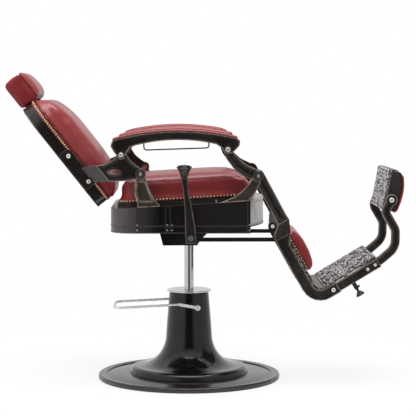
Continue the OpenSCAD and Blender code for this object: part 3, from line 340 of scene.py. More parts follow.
LEATHER = leather_finish()
SHADED_WELT = shaded_welt_finish()
CASTING = casting_finish(
    "antique_casting", (0.006, 0.0042, 0.0035), (0.017, 0.0115, 0.0092), (0.26, 0.21, 0.175), coat=0.35,
)
BRACKET = casting_finish("bracket_casting", (0.018, 0.012, 0.0095), (0.042, 0.029, 0.023), (0.33, 0.27, 0.23))
LEVER = casting_finish("lever_bronze", (0.005, 0.0036, 0.003), (0.013, 0.009, 0.0074), (0.16, 0.12, 0.1), rough=0.4)
CHROME = metal_finish("polished_chrome", (0.88, 0.88, 0.89), 0.055)
STEEL = metal_finish("machined_steel", (0.52, 0.52, 0.53), 0.24, (1, 1, 12))
NAIL = metal_finish("antique_brass_nails", (0.66, 0.53, 0.3), 0.26, shade=0.5)
BRONZE = metal_finish("bush_bronze", (0.6, 0.4, 0.19), 0.3)
SCREW = metal_finish("screw_nickel", (0.62, 0.58, 0.55), 0.2, shade=0.5)
BOLT = metal_finish("bolt_nickel", (0.8, 0.79, 0.78), 0.36, metal=0.45)
PEDAL = metal_finish("pedal_chrome", (0.86, 0.86, 0.87), 0.2, metal=0.6)
TREADS = tread_finish()
FRONT = front_finish()
BOX_ENAMEL = box_finish()
WOOD = board_finish()
RUBBER = rubber_finish()
COLUMN = enamel_finish("column_enamel", (0.0028, 0.0028, 0.003), (0.005, 0.0048, 0.005), 0.16, 0.7)
DISH = enamel_finish("dish_enamel", (0.007, 0.0045, 0.0045), (0.013, 0.0085, 0.008), 0.2, 0.5)
BAND = enamel_finish("band_lacquer", (0.0065, 0.0048, 0.0042), (0.016, 0.0115, 0.0098), 0.3, 1.0, 380.0)
RIM = casting_finish(
    "rim_bronze", (0.009, 0.0058, 0.005), (0.02, 0.0125, 0.0105), (0.11, 0.075, 0.06), rough=0.24, coat=0.6,
)
IRON = casting_finish("pump_iron", (0.05, 0.05, 0.05), (0.12, 0.12, 0.12), (0.3, 0.3, 0.3), rough=0.5, coat=0.0)

NODE_FINISHES = {
    "floor_iron": IRON, "pump_iron": IRON, "dish_enamel": DISH, "rim_bronze": RIM, "column_enamel": COLUMN,
    "chrome": CHROME, "steel": STEEL, "bronze": BRONZE, "rubber": RUBBER, "antique_casting": CASTING,
    "box_enamel": BOX_ENAMEL, "core_wood": core_finish(), "front_steel": FRONT,
    "tread_metal": silver_plate_finish(), "leather": LEATHER, "wood": WOOD, "lever_bronze": LEVER,
}
SLOT_OF = {part["node"]: part["material_slot"] for part in frame["record"]["subparts"]}
OWN_FINISHES = {
    "pedal_loop": PEDAL, "wing_fasteners": BOLT, "leg_fasteners": BOLT, "rear_brackets": BRACKET,
    "front_brackets": BRACKET,
}
for name, node in frame["nodes"].items():
    node.data.materials.clear()
    node.data.materials.append(OWN_FINISHES.get(name, NODE_FINISHES[SLOT_OF[name]]))


# ---- Mesh helpers ----

def merged(mesh, distance, outwards=True):
    """Joins a mesh's points that lie nearer than a distance, and turns the faces of a closed one outwards."""
    bm = bmesh.new()
    bm.from_mesh(mesh)
    bmesh.ops.remove_doubles(bm, verts=bm.verts, dist=distance)
    if outwards:
        bmesh.ops.recalc_face_normals(bm, faces=bm.faces)
    bm.to_mesh(mesh)
    bm.free()


def shown(name, data):
    """A new object in the scene with this mesh, lamp or camera."""
    obj = bpy.data.objects.new(name, data)
    bpy.context.scene.collection.objects.link(obj)
    return obj


def piece(name, points, faces, finish, body, slot, replaced=(), sharp=40.0, marks=None):
    """A new mesh piece of points and faces that rides on a body and stands for the nodes it replaces. marks
    is the name of a number kept on its points, and their values."""
    mesh = bpy.data.meshes.new(name)
    mesh.from_pydata(np.asarray(points, float).reshape(-1, 3).tolist(), [], faces)
    if marks:
        mesh.attributes.new(marks[0], "FLOAT", "POINT").data.foreach_set("value", np.asarray(marks[1], np.float32))
    merged(mesh, 1e-6)
    mesh.materials.append(finish)
    mesh.shade_smooth()
    mesh.set_sharp_from_angle(angle=math.radians(sharp))
    obj = shown(name, mesh)
    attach(obj, body)
    if replaced:
        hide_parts(*replaced)
    return obj


def rows_of(items, name, width=3, kind=float):
    """A vector kept on each of a mesh's points, edges or triangles, as rows."""
    rows = np.zeros(len(items) * width, kind)
    items.foreach_get(name, rows)
    return rows.reshape(-1, width)


def grid_faces(rows, cols, wrap_rows=False, wrap_cols=False, start=0):
    """Quads between neighbours in a grid of rows by cols points, going round where it wraps."""
    r = np.arange(rows if wrap_rows else rows - 1)
    c = np.arange(cols if wrap_cols else cols - 1)
    a, b = (v.ravel() for v in np.meshgrid(r, c, indexing="ij"))
    a2, b2 = (a + 1) % rows, (b + 1) % cols
    return (start + np.stack([a * cols + b, a2 * cols + b, a2 * cols + b2, a * cols + b2], -1)).tolist()


def unit(v):
    """Rows scaled to length 1."""
    return v / np.maximum(np.linalg.norm(v, axis=-1, keepdims=True), 1e-12)


def angles(count):
    """Even steps round a circle, in radians."""
    return np.arange(count) * 2 * math.pi / count


def circle(radius, sides=8, squash=1.0):
    """Cross-section points of a round cord, in its side and up directions, in millimetres."""
    a = angles(sides)
    return np.stack([radius * np.cos(a), radius * squash * np.sin(a)], -1)


def slab(top, low):
    """Points and faces of a closed slab between two grids of points of the same shape."""
    rows, cols = top.shape[:2]
    count = rows * cols
    ring = [i * cols for i in range(rows)] + [(rows - 1) * cols + j for j in range(1, cols)]
    ring += [i * cols + cols - 1 for i in range(rows - 2, -1, -1)] + list(range(cols - 2, 0, -1))
    wall = [[a, b, b + count, a + count] for a, b in zip(ring, ring[1:] + ring[:1])]
    faces = grid_faces(rows, cols) + [f[::-1] for f in grid_faces(rows, cols, start=count)] + wall
    return np.concatenate([top.reshape(-1, 3), low.reshape(-1, 3)]), faces


def swept(path, up, section, closed=True):
    """A section carried along a path: each ring is the path point plus the section's share of the side
    direction (tangent cross up) and of the up direction. Returns points and faces."""
    path, up = np.asarray(path, float), np.broadcast_to(np.asarray(up, float), np.shape(path))
    if closed:
        tangent = np.roll(path, -1, 0) - np.roll(path, 1, 0)
    else:
        tangent = np.gradient(path, axis=0)
    side = unit(np.cross(tangent, up))
    lift = unit(np.cross(side, tangent))
    rings = path[:, None] + MM * (side[:, None] * section[None, :, :1] + lift[:, None] * section[None, :, 1:])
    count = len(section)
    faces = grid_faces(len(path), count, closed, True)
    if not closed:
        faces += [list(range(count)), list(range((len(path) - 1) * count, len(path) * count))[::-1]]
    return rings.reshape(-1, 3), faces


def joined(parts):
    """Several sets of points and faces as one set."""
    points, faces, start = [], [], 0
    for some, quads in parts:
        points.append(np.asarray(some).reshape(-1, 3))
        faces += [[start + i for i in quad] for quad in quads]
        start += len(points[-1])
    return np.concatenate(points), faces


def turned(profile, steps, centre=(0, 0), flutes=0, flute_depth=0.0):
    """A closed profile of radius and height turned about a vertical axis; flutes vary the radius as a cosine."""
    profile = np.asarray(profile, float)
    a = angles(steps)
    r = profile[:, :1] * (1 + flute_depth * np.cos(flutes * a))
    points = FLOOR(centre[0] + r * np.cos(a), centre[1] + r * np.sin(a), profile[:, 1:])
    return points.reshape(-1, 3), grid_faces(len(profile), steps, True, True)


def boss(centre, side, profile, steps=40):
    """A cap turned about the chair's width: radius and height rows, closed at both ends."""
    r, h = np.array(profile, float).T[..., None]
    a = angles(steps)
    points = centre + FLOOR(r * np.cos(a), side * h, r * np.sin(a))
    return points.reshape(-1, 3), grid_faces(len(profile), steps, True, True)


def arc(centre, radius, start, end, count):
    """Points on a circle from one angle to another, in degrees."""
    a = np.radians(np.linspace(start, end, count))
    return np.stack([centre[0] + radius * np.cos(a), centre[1] + radius * np.sin(a)], -1)


def domes(centres, normals, radius, height, sides=10, rings=3, skirt=0.0):
    """A round-headed nail at each centre: rings whose radius and height follow a quarter ellipse, on a
    short skirt sunk below the surface. Returns the points and faces of them all."""
    centres, normals = np.asarray(centres, float), unit(np.asarray(normals, float))
    spin = np.where(np.abs(normals[:, 2:]) < 0.9, [[0.0, 0.0, 1.0]], [[1.0, 0.0, 0.0]])
    u = unit(np.cross(normals, spin))
    v = np.cross(normals, u)
    t = np.linspace(0, math.pi / 2, rings + 1)[:-1]
    levels = [(radius, -skirt)] + [(radius * math.cos(x), height * math.sin(x)) for x in t]
    a = angles(sides)
    shape = [np.stack([r * np.cos(a), r * np.sin(a), np.full(sides, h)], -1) for r, h in levels]
    shape = np.concatenate(shape + [np.array([[0, 0, height]]), np.array([[0, 0, -skirt]])]) * MM
    points = centres[:, None] + shape[None, :, :1] * u[:, None] + shape[None, :, 1:2] * v[:, None]
    points = points + shape[None, :, 2:] * normals[:, None]
    one = grid_faces(len(levels), sides, False, True)
    last, top = (len(levels) - 1) * sides, len(levels) * sides
    one += [[last + i, last + (i + 1) % sides, top] for i in range(sides)]
    one += [[(i + 1) % sides, i, top + 1] for i in range(sides)]
    faces = [[i + k * len(shape) for i in face] for k in range(len(centres)) for face in one]
    return points.reshape(-1, 3), faces


def even(loop, spacing):
    """A closed line resampled to even steps near the spacing, in its own units."""
    ring = np.vstack([loop, loop[:1]])
    run = np.concatenate([[0], np.cumsum(np.linalg.norm(np.diff(ring, axis=0), axis=1))])
    count = max(int(round(run[-1] / spacing)), 3)
    at = np.arange(count) * run[-1] / count
    return np.stack([np.interp(at, run, ring[:, k]) for k in range(ring.shape[1])], -1)


def chained(pairs):
    """Closed loops of point numbers from directed edges."""
    after = dict(pairs)
    loops = []
    while after:
        start, here = after.popitem()
        loop = [start]
        while here != start and here in after:
            loop.append(here)
            here = after.pop(here)
        if here == start and len(loop) > 2:
            loops.append(loop)
    return loops


def rim_edges(triangles):
    """Directed edges that belong to one triangle only."""
    directed = {tuple(e) for t in triangles.tolist() for e in ((t[0], t[1]), (t[1], t[2]), (t[2], t[0]))}
    return [(a, b) for a, b in directed if (b, a) not in directed]


def flat_loops(node, place, across=None, forward=None):
    """Outlines of a CAD node's flat face at one distance across or forward, in millimetres: the face's
    edges that belong to one triangle only, joined end to end. Points within a cell count as one."""
    thickness, cell = 0.15, 0.02
    mesh = frame["nodes"][node].data
    mesh.calc_loop_triangles()
    flat = rows_of(mesh.loop_triangles, "vertices", 3, np.int64)
    points = place.local(points_of(mesh))
    level = points[:, 1] - across if across is not None else points[:, 0] - forward
    plane = points[:, [0, 2]] if across is not None else points[:, [1, 2]]
    flat = flat[(np.abs(level[flat]) < thickness).all(1)]
    keys, which = np.unique(np.round(plane / cell).astype(np.int64), axis=0, return_inverse=True)
    which = which.reshape(-1)[flat]
    which = which[(which[:, 0] != which[:, 1]) & (which[:, 1] != which[:, 2]) & (which[:, 0] != which[:, 2])]
    return [keys[loop] * cell for loop in chained(rim_edges(which))]


def area(loop):
    """Signed area of an outline."""
    nxt = np.roll(loop, -1, 0)
    return 0.5 * np.sum(loop[:, 0] * nxt[:, 1] - nxt[:, 0] * loop[:, 1])


def largest(loops):
    """The outline with the largest area."""
    return max(loops, key=lambda loop: abs(area(loop)))


def outward(loop):
    """Directions out of an outline that turns to the left."""
    along = unit(np.roll(loop, -1, 0) - np.roll(loop, 1, 0))
    return np.stack([along[:, 1], -along[:, 0]], -1)


def inside(points, loops):
    """Whether each point lies within an odd number of the loops, by counting crossings."""
    hit = np.zeros(len(points), bool)
    for loop in loops:
        a, b = loop, np.roll(loop, -1, 0)
        spans = (a[None, :, 1] > points[:, None, 1]) != (b[None, :, 1] > points[:, None, 1])
        rise = np.where(np.abs(b[:, 1] - a[:, 1]) < 1e-9, 1e-9, b[:, 1] - a[:, 1])
        x = a[None, :, 0] + (points[:, None, 1] - a[None, :, 1]) * ((b[:, 0] - a[:, 0]) / rise)[None]
        hit ^= (np.sum(spans & (points[:, None, 0] < x), 1) % 2).astype(bool)
    return hit


def edge_distance(points, loops):
    """Distance of each point from the nearest outline."""
    nearest = np.full(len(points), 1e9)
    for loop in loops:
        a, ab = loop, np.roll(loop, -1, 0) - loop
        t = np.einsum("pki,ki->pk", points[:, None] - a[None], ab) / np.maximum(np.sum(ab * ab, 1), 1e-12)
        foot = a[None] + np.clip(t, 0, 1)[..., None] * ab[None]
        nearest = np.minimum(nearest, np.linalg.norm(points[:, None] - foot, axis=2).min(1))
    return nearest


def eased(x):
    """0 to 1 with a level start and end."""
    x = np.clip(x, 0, 1)
    return x * x * (3 - 2 * x)


def quarter(x):
    """0 to 1 along a quarter circle, steep at the start."""
    return np.sqrt(np.clip(1 - (1 - np.clip(x, 0, 1)) ** 2, 0, 1))


def rim_height(rim, radius, field, width):
    """Height over a cast face by distance from its edge: a quarter round up to the rim, then an easy
    fall to the field."""
    return lambda d: rim * quarter(d / radius) + (field - rim) * eased((d - radius) / width)


def domed(rise, width):
    """Height over a rounded casting: a quarter ellipse from the edge up to the crown."""
    return lambda d: rise * quarter(d / width)


def ribbed(rim, radius, field, width, ridge, start):
    """A rimmed face with a rounded rib along its middle, where the distance from the edge is greatest."""
    rimmed, slope = rim_height(rim, radius, field, width), 3.0
    return lambda d: rimmed(d) + ridge * eased((d - start) / slope)


ROW_OFFSETS = (0.45, 1.1, 2.2, 3.6, 5.4)   # of the rows of points along a skin's outlines
GRID_OFFSET = 6.5                          # from there inwards the points lie in a grid
CREST_AT, CREST_WIDTH = 2.0, 1.3           # of the line along a skin's rim painted lighter as highlight, partly wear


def relief(name, loops, to_world, height, step, finish, body, slot, replaced=(), sink=0.4):
    """A raised skin over outlines in a plane: heights follow the distance from the outline, and a flat
    back just under the surface closes it. to_world takes the two plane coordinates and the height."""
    loops = [even(loop, step * 0.8) for loop in loops]
    rows = []
    for loop in loops:
        for offset in ROW_OFFSETS:
            for way in (-offset, offset):
                row = loop + way * outward(loop)
                row = row[inside(row, loops)]
                rows.append(row[edge_distance(row, loops) > offset * 0.97])
    outer = largest(loops)
    spans = [np.arange(low, high, step) for low, high in zip(outer.min(0), outer.max(0))]
    grid = np.stack(np.meshgrid(*spans), -1).reshape(-1, 2)
    grid = grid[inside(grid, loops)]
    grid = grid[edge_distance(grid, loops) > GRID_OFFSET]
    borders, start = [], 0
    for loop in loops:
        borders += [(start + i, start + (i + 1) % len(loop)) for i in range(len(loop))]
        start += len(loop)
    plane = np.concatenate(loops + rows + [grid])
    made = delaunay_2d_cdt([Vector(p) for p in plane.tolist()], borders, [], 0, 1e-4)
    flat = np.array([tuple(v) for v in made[0]])
    triangles = np.array([f for f in made[2] if len(f) == 3])
    triangles = triangles[inside(flat[triangles].mean(1), loops)]
    away, count = edge_distance(flat, loops), len(flat)
    points = np.concatenate([to_world(*flat.T, height(away)), to_world(*flat.T, -sink)])
    walls = [[a, b, b + count, a + count] for a, b in rim_edges(triangles)]
    faces = triangles.tolist() + (triangles[:, ::-1] + count).tolist() + walls
    # crest: the rim's top line, which casting finishes paint lighter as highlight, partly wear
    crest = np.exp(-((away - CREST_AT) / CREST_WIDTH) ** 2)
    return piece(name, points, faces, finish, body, slot, replaced, 60.0, ("crest", np.tile(crest, 2)))


def cheeks(node, face, body, height, step=4.0, finish=CASTING, sides=(-1, 1), label=""):
    """Raised cast skins over a node's flat sides at this distance from the middle, on the right and the left.
    A negative distance is an inner side, which faces the middle. Outlines below a smallest area are left out."""
    smallest = 25   # square millimetres
    facing = "" if face > 0 else "_inner"
    for side in sides:
        y, out = side * abs(face), side if face > 0 else -side
        loops = [loop for loop in flat_loops(node, FLOOR, across=y) if abs(area(loop)) > smallest]
        relief(f"{node}_skin{label}{facing}_{'right' if side < 0 else 'left'}", loops,
               lambda x, z, h: FLOOR(x, y + out * h, z), height, step, finish, body, SLOT_OF[node])


# ---- Padding ----

def copied(name, node):
    """A merged copy of a CAD node's mesh as a new leather object."""
    mesh = frame["nodes"][node].data.copy()
    mesh.name = name
    merged(mesh, 1e-5)
    mesh.materials.clear()
    mesh.materials.append(LEATHER)
    return shown(name, mesh)


def points_of(mesh):
    """A mesh's points as rows."""
    return rows_of(mesh.vertices, "co")


def set_points(mesh, points):
    """Moves a mesh's points to these rows."""
    mesh.vertices.foreach_set("co", np.asarray(points, np.float32).ravel())
    mesh.update()


def normals_of(mesh):
    """A mesh's point normals as rows."""
    return rows_of(mesh.vertices, "normal")


def applied(obj):
    """Puts the object's mesh with its modifiers applied in place of the old one."""
    graph = bpy.context.evaluated_depsgraph_get()
    mesh = bpy.data.meshes.new_from_object(obj.evaluated_get(graph))
    obj.modifiers.clear()
    obj.data = mesh


def calmed(values, edges, passes):
    """Rows moved towards their neighbours' mean, so that a field over the points has no wrinkles."""
    count = np.bincount(edges.ravel(), minlength=len(values))[:, None]
    for _ in range(passes):
        total = np.stack([
            np.bincount(edges[:, 0], values[edges[:, 1], k], len(values))
            + np.bincount(edges[:, 1], values[edges[:, 0], k], len(values)) for k in range(3)
        ], -1)
        values = 0.4 * values + 0.6 * total / np.maximum(count, 1)
    return values


FADE = 24           # from the side that padding lies on to where all of it moves
CLOTH_PRESSURE = 4.0
CLOTH_FRAMES = 20


def puffed(obj, place, inset, voxel, cap, smooth, rest=None, calm=8):
    """Padding: the plain solid is remeshed in even cells, drawn in by inset on every side, blown up by cloth
    under pressure with no point moving more than cap, and calmed. rest is the place's direction (0, 1 or 2)
    and the level in millimetres of the side it lies on: there nothing moves, and further by the fade all of it does."""
    remesh = obj.modifiers.new("cells", "REMESH")
    remesh.mode = "VOXEL"
    remesh.voxel_size = voxel * MM
    applied(obj)
    edges = rows_of(obj.data.edges, "vertices", 2, np.int64)
    local = place.local(points_of(obj.data))
    free = eased(np.abs(local[:, rest[0]] - rest[1]) / FADE)[:, None] if rest else np.ones((len(local), 1))
    low, high = local.min(0), local.max(0)
    centre, half = (low + high) / 2, (high - low) / 2
    local = local - (local - centre) * (np.array(inset) / half) * free
    local = local + (calmed(local, edges, smooth) - local) * (0.15 + 0.85 * free)
    before = place(*local.T)
    set_points(obj.data, before)
    cloth = obj.modifiers.new("puff", "CLOTH")
    cloth.settings.use_pressure = True
    cloth.settings.uniform_pressure_force = CLOTH_PRESSURE
    cloth.settings.effector_weights.gravity = 0
    cloth.settings.quality = 3
    cloth.settings.mass = 0.35
    cloth.settings.tension_stiffness = cloth.settings.compression_stiffness = 12
    cloth.point_cache.frame_start, cloth.point_cache.frame_end = 1, CLOTH_FRAMES
    for step in range(1, CLOTH_FRAMES + 1):
        bpy.context.scene.frame_set(step)
    applied(obj)
    bpy.context.scene.frame_set(1)
    moved = points_of(obj.data) - before
    reach = np.linalg.norm(moved, axis=1, keepdims=True)
    moved = moved * np.minimum(1, cap * MM / np.maximum(reach, 1e-9))
    set_points(obj.data, before + calmed(moved * free, edges, calm) * free)
    rounding = obj.modifiers.new("smooth", "SUBSURF")
    rounding.levels = rounding.render_levels = 1
    applied(obj)
    obj.data.shade_smooth()


def cushion(name, node, body, fill, *shape, **more):
    """A padded leather piece puffed out of a CAD node's solid, which it stands for."""
    pad = copied(name, node)
    puffed(pad, *shape, **more)
    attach(pad, body)
    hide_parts(node)
    return pad


def displaced(obj, place, amount):
    """Moves each point along its normal by amount(forward, across, up) in millimetres."""
    points = points_of(obj.data)
    local = place.local(points)
    set_points(obj.data, points + MM * amount(*local.T)[:, None] * normals_of(obj.data))


def crease(level, depth, width):
    """A sewn groove: a bell curve about one level."""
    return lambda value: -depth * np.exp(-((value - level) / width) ** 2)


def sliced(obj, point, normal):
    """The longest closed line in which a plane cuts an object's mesh."""
    bm = bmesh.new()
    bm.from_mesh(obj.data)
    cut = bmesh.ops.bisect_plane(
        bm, geom=bm.verts[:] + bm.edges[:] + bm.faces[:], plane_co=Vector(point), plane_no=Vector(normal)
    )["geom_cut"]
    edges = [e for e in cut if isinstance(e, bmesh.types.BMEdge)]
    near = {}
    for e in edges:
        a, b = e.verts
        near.setdefault(a, []).append(b)
        near.setdefault(b, []).append(a)
    best, seen = [], set()
    for start in near:
        if start in seen:
            continue
        line, here, back = [start], near[start][0], start
        seen.add(start)
        while here != start and here not in seen:
            seen.add(here)
            line.append(here)
            onward = [v for v in near[here] if v != back and (v not in seen or v == start)]
            back, here = here, (onward[0] if onward else start)
        if len(line) > len(best):
            best = line
    loop = np.array([tuple(v.co) for v in best])
    bm.free()
    return loop


def softened(loop, passes=3):
    """A closed line with each point moved towards its neighbours' mean."""
    for _ in range(passes):
        loop = 0.5 * loop + 0.25 * (np.roll(loop, 1, 0) + np.roll(loop, -1, 0))
    return loop


def surface_normals(obj, points):
    """Outward normals of the nearest surface of an object at some points."""
    tree = BVHTree.FromPolygons([v.co for v in obj.data.vertices], [p.vertices[:] for p in obj.data.polygons])
    return np.array([tuple(tree.find_nearest(Vector(p))[1]) for p in points])


def piping(name, pad, loop, radius, body, lift=0.4):
    """Corded welt: a round section along a closed line, lifted a share of its radius off the pad."""
    line = even(softened(loop), 5 * MM)
    normals = surface_normals(pad, line)
    return piece(name, *swept(line + normals * radius * lift * MM, normals, circle(radius)), SHADED_WELT, body, "leather")


NAIL_SPACING, NAIL_RADIUS = 12.5, 4.2


def nail_row(name, pad, loop, body):
    """Round-headed nails along a closed line on a pad, at an even spacing."""
    line = even(softened(loop), NAIL_SPACING * MM)
    nails = domes(line, surface_normals(pad, line), NAIL_RADIUS, NAIL_RADIUS * 0.62, skirt=1.2)
    piece(name, *nails, NAIL, body, "leather")


# ---- Base: skirt, dish, rim and collar as smooth turned shells ----

def base():
    """Turned shells from the frame's own sizes: the skirt's wall, the rim, the dish and the collar, with a
    rubber ring where the pedal's shaft comes out on each side."""
    rim_r, lip_r = 1000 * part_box("base_rim")[1].x, 1000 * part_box("column_skirt")[1].x
    top, neck_r = 1000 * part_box("column_skirt")[1].z, 75.6
    flare_x, lip_z, lip_round, lip_foot = lip_r - 24, 26, 24, 24.2
    flare_r = flare_x - 90
    flare_z = lip_z + lip_round + flare_r
    neck = np.array([neck_r, top - 1.4]) - [flare_x, flare_z]
    meet = math.degrees(math.atan2(neck[1], neck[0]) + math.acos(flare_r / np.linalg.norm(neck))) - 360
    outer_wall = np.concatenate([
        [[lip_r, lip_foot]], arc((flare_x, lip_z), lip_round, -4, 90, 16),
        arc((flare_x, flare_z), flare_r, -90, meet, 48)[1:], [[neck_r, top - 1.4], [neck_r - 1, top - 0.1]],
    ])
    inner_wall = np.concatenate([
        [[71.2, top - 0.1]], arc((flare_x, flare_z), flare_r + 4, -180, -90, 32),
        arc((flare_x, lip_z), lip_round - 4, 90, 4, 10), [[lip_r - 4.2, lip_foot]],
    ])
    shell = turned(np.concatenate([outer_wall, inner_wall]), 192)
    piece("column_shell", *shell, COLUMN, "base", "column_enamel", ["column_skirt"], 30.0)

    hole_x, hole_z = 1000 * PIVOT["pedal_press"][0], 1000 * PIVOT["pedal_press"][2]
    seat_y = math.sqrt(75.5 ** 2 - hole_x ** 2) - 1.5
    ring = [(9, 0), (11.5, 0.6), (12.5, 2.6), (11, 4), (9, 4)]
    rings = [boss(FLOOR(hole_x, side * seat_y, hole_z), side, ring) for side in (-1, 1)]
    piece("shaft_grommets", *joined(rings), RUBBER, "base", "rubber")

    crown = np.concatenate([
        [[rim_r - 12.6, 1.0], [rim_r - 2.4, 1.0], [rim_r - 0.6, 3.0]], arc((rim_r - 8, 12), 8, 0, 100, 14),
        [[rim_r - 20, 18.6]], arc((rim_r - 27, 15), 4.6, 80, 180, 10), [[rim_r - 31.8, 15.1], [rim_r - 12.6, 15.1]],
    ])
    piece("rim_bead", *turned(crown, 192), RIM, "base", "rim_bronze", ["base_rim"], 50.0)
    dish_r, lip, dish_z, lip_top = rim_r - 30.5, lip_r + 2, 15.2, 24
    fall = np.linspace(0, 1, 14)
    swell = dish_z + (lip_top - dish_z) * fall + 1.6 * np.sin(math.pi * fall)
    dish = np.concatenate([
        [[rim_r - 12.8, 12.2], [rim_r - 12.8, 14.9]], np.stack([dish_r + (lip - dish_r) * fall, swell], -1),
        [[lip_r - 20.8, 24.1], [lip_r - 20.8, 20.2], [lip, 20.2], [dish_r, 12.2]],
    ])
    piece("dish_shell", *turned(dish, 192), DISH, "base", "dish_enamel", ["base_dish"])
    collar_r, low, high, hole_r, edge = 1000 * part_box("column_collar")[1].x, 338.05, 344.0, 18.9, 1.6
    collar = np.concatenate([
        [[hole_r, low]], arc((collar_r - edge, low + edge), edge, -90, 0, 6),
        arc((collar_r - edge, high - edge), edge, 0, 90, 6),
        [[40, high], [37, high + 1.8], [26, high + 2.6], [22, high + 1.0], [hole_r, high + 0.4]],
    ])
    piece("collar_plate", *turned(collar, 128), CHROME, "base", "chrome", ["column_collar"])


# ---- Seat: cushion, board edge, box mouldings ----

BOX_REAR, BOX_FRONT, BOX_SIDE, BOX_CORNER = -291, 225, 310, 92
MOULDING_OUT = 0.2   # from the box's walls to the middle of the mouldings on them


def box_outline(level):
    """The mouldings' line round the seat box, as points in metres at one height above the underside: straight
    sides with rounded back corners and square front ones."""
    x0, x1, half = BOX_REAR - MOULDING_OUT, BOX_FRONT + MOULDING_OUT, BOX_SIDE + MOULDING_OUT
    r = BOX_CORNER + MOULDING_OUT
    loop = np.concatenate([
        arc((x0 + r, -half + r), r, 180, 270, 20), [[x1, -half], [x1, half]], arc((x0 + r, half - r), r, 90, 180, 20),
    ])
    return BOX(*even(loop, 4.0).T, level)


def seat():
    """Cushion with its seam, nails and black edge cord, the box's mouldings, ribs and screws, and the front trim."""
    pad = cushion("seat_leather", "seat_cushion", "seat", 0.8, SEAT, (6, 6, 5), 8.0, 8.0, 13, rest=(2, 14.3))
    seam = 88.0

    def folds(x, y, z):
        return crease(seam, 1.3, 4.0)(z) + 0.7 * np.sin(y / 31 + 1.3) * np.exp(-((z - 70) / 14) ** 2)
    displaced(pad, SEAT, folds)
    # painted shade: a dark cord sunk in the seam draws the line of shade between the top and the side
    piping("seat_welt_shade_line", pad, sliced(pad, SEAT(0, 0, seam), SEAT.up), 1.6, "seat", 0.0)
    nail_row("seat_nails", pad, sliced(pad, SEAT(0, 0, 21), SEAT.up), "seat")
    ledge = even(softened(sliced(pad, SEAT(0, 0, 16), SEAT.up)), 5 * MM)
    piece("seat_gimp", *swept(ledge, SEAT.up, circle(2.2, 6, 1.6)), WOOD, "seat", "leather")

    lines = [swept(box_outline(z), (0, 0, 1), circle(w, 8, 0.8)) for z, w in ((28.5, 1.7), (24.0, 1.0), (3.0, 1.6))]
    piece("box_mouldings", *joined(lines), BOX_ENAMEL, "seat", "box_enamel")
    ribs, screws, outs = [], [], []
    for x, width in ((-198, 2.6), (-87, 2.0), (-70, 2.0), (214, 2.2)):
        top = 106 + x * math.tan(math.radians(SEAT_TILT)) - 3
        for side in (-1, 1):
            line = BOX(x, side * (BOX_SIDE + MOULDING_OUT), np.linspace(1.5, top, 24))
            ribs.append(swept(line, (0, side, 0), circle(width, 8, 0.9), closed=False))
            for z in (31, 12):
                screws.append(BOX(x + 7, side * BOX_SIDE, z))
                outs.append((0, side, 0))
    piece("box_ribs", *joined(ribs), BOX_ENAMEL, "seat", "box_enamel")
    piece("box_screws", *domes(screws, outs, 2.8, 1.6, skirt=1.0), SCREW, "seat", "steel")

    lip = np.array([[0.0, 0.0], [3.2, 0.6], [3.6, 3.4], [0.4, 4.0]]) - [1.5, 2.0]
    half, bow = 268.0, 60
    chord = np.linspace(-1, 1, 60)
    bow_r = (half ** 2 + bow ** 2) / (2 * bow)
    front = np.stack([BOX_FRONT - bow_r + bow + np.sqrt(bow_r ** 2 - (half * chord) ** 2), half * chord], -1)
    caps = [swept(BOX(*front.T, level), (0, 0, 1), lip, closed=False) for level in (22.0, 112.0)]
    piece("front_trim", *joined(caps), FRONT, "seat", "front_steel")


# ---- Back: cushion, band, rear panel and headrest ----

FRAME_FRONT, PANEL_REAR = -150.0, -210.0   # flat faces of the back's frame and panel, along BACK.forward


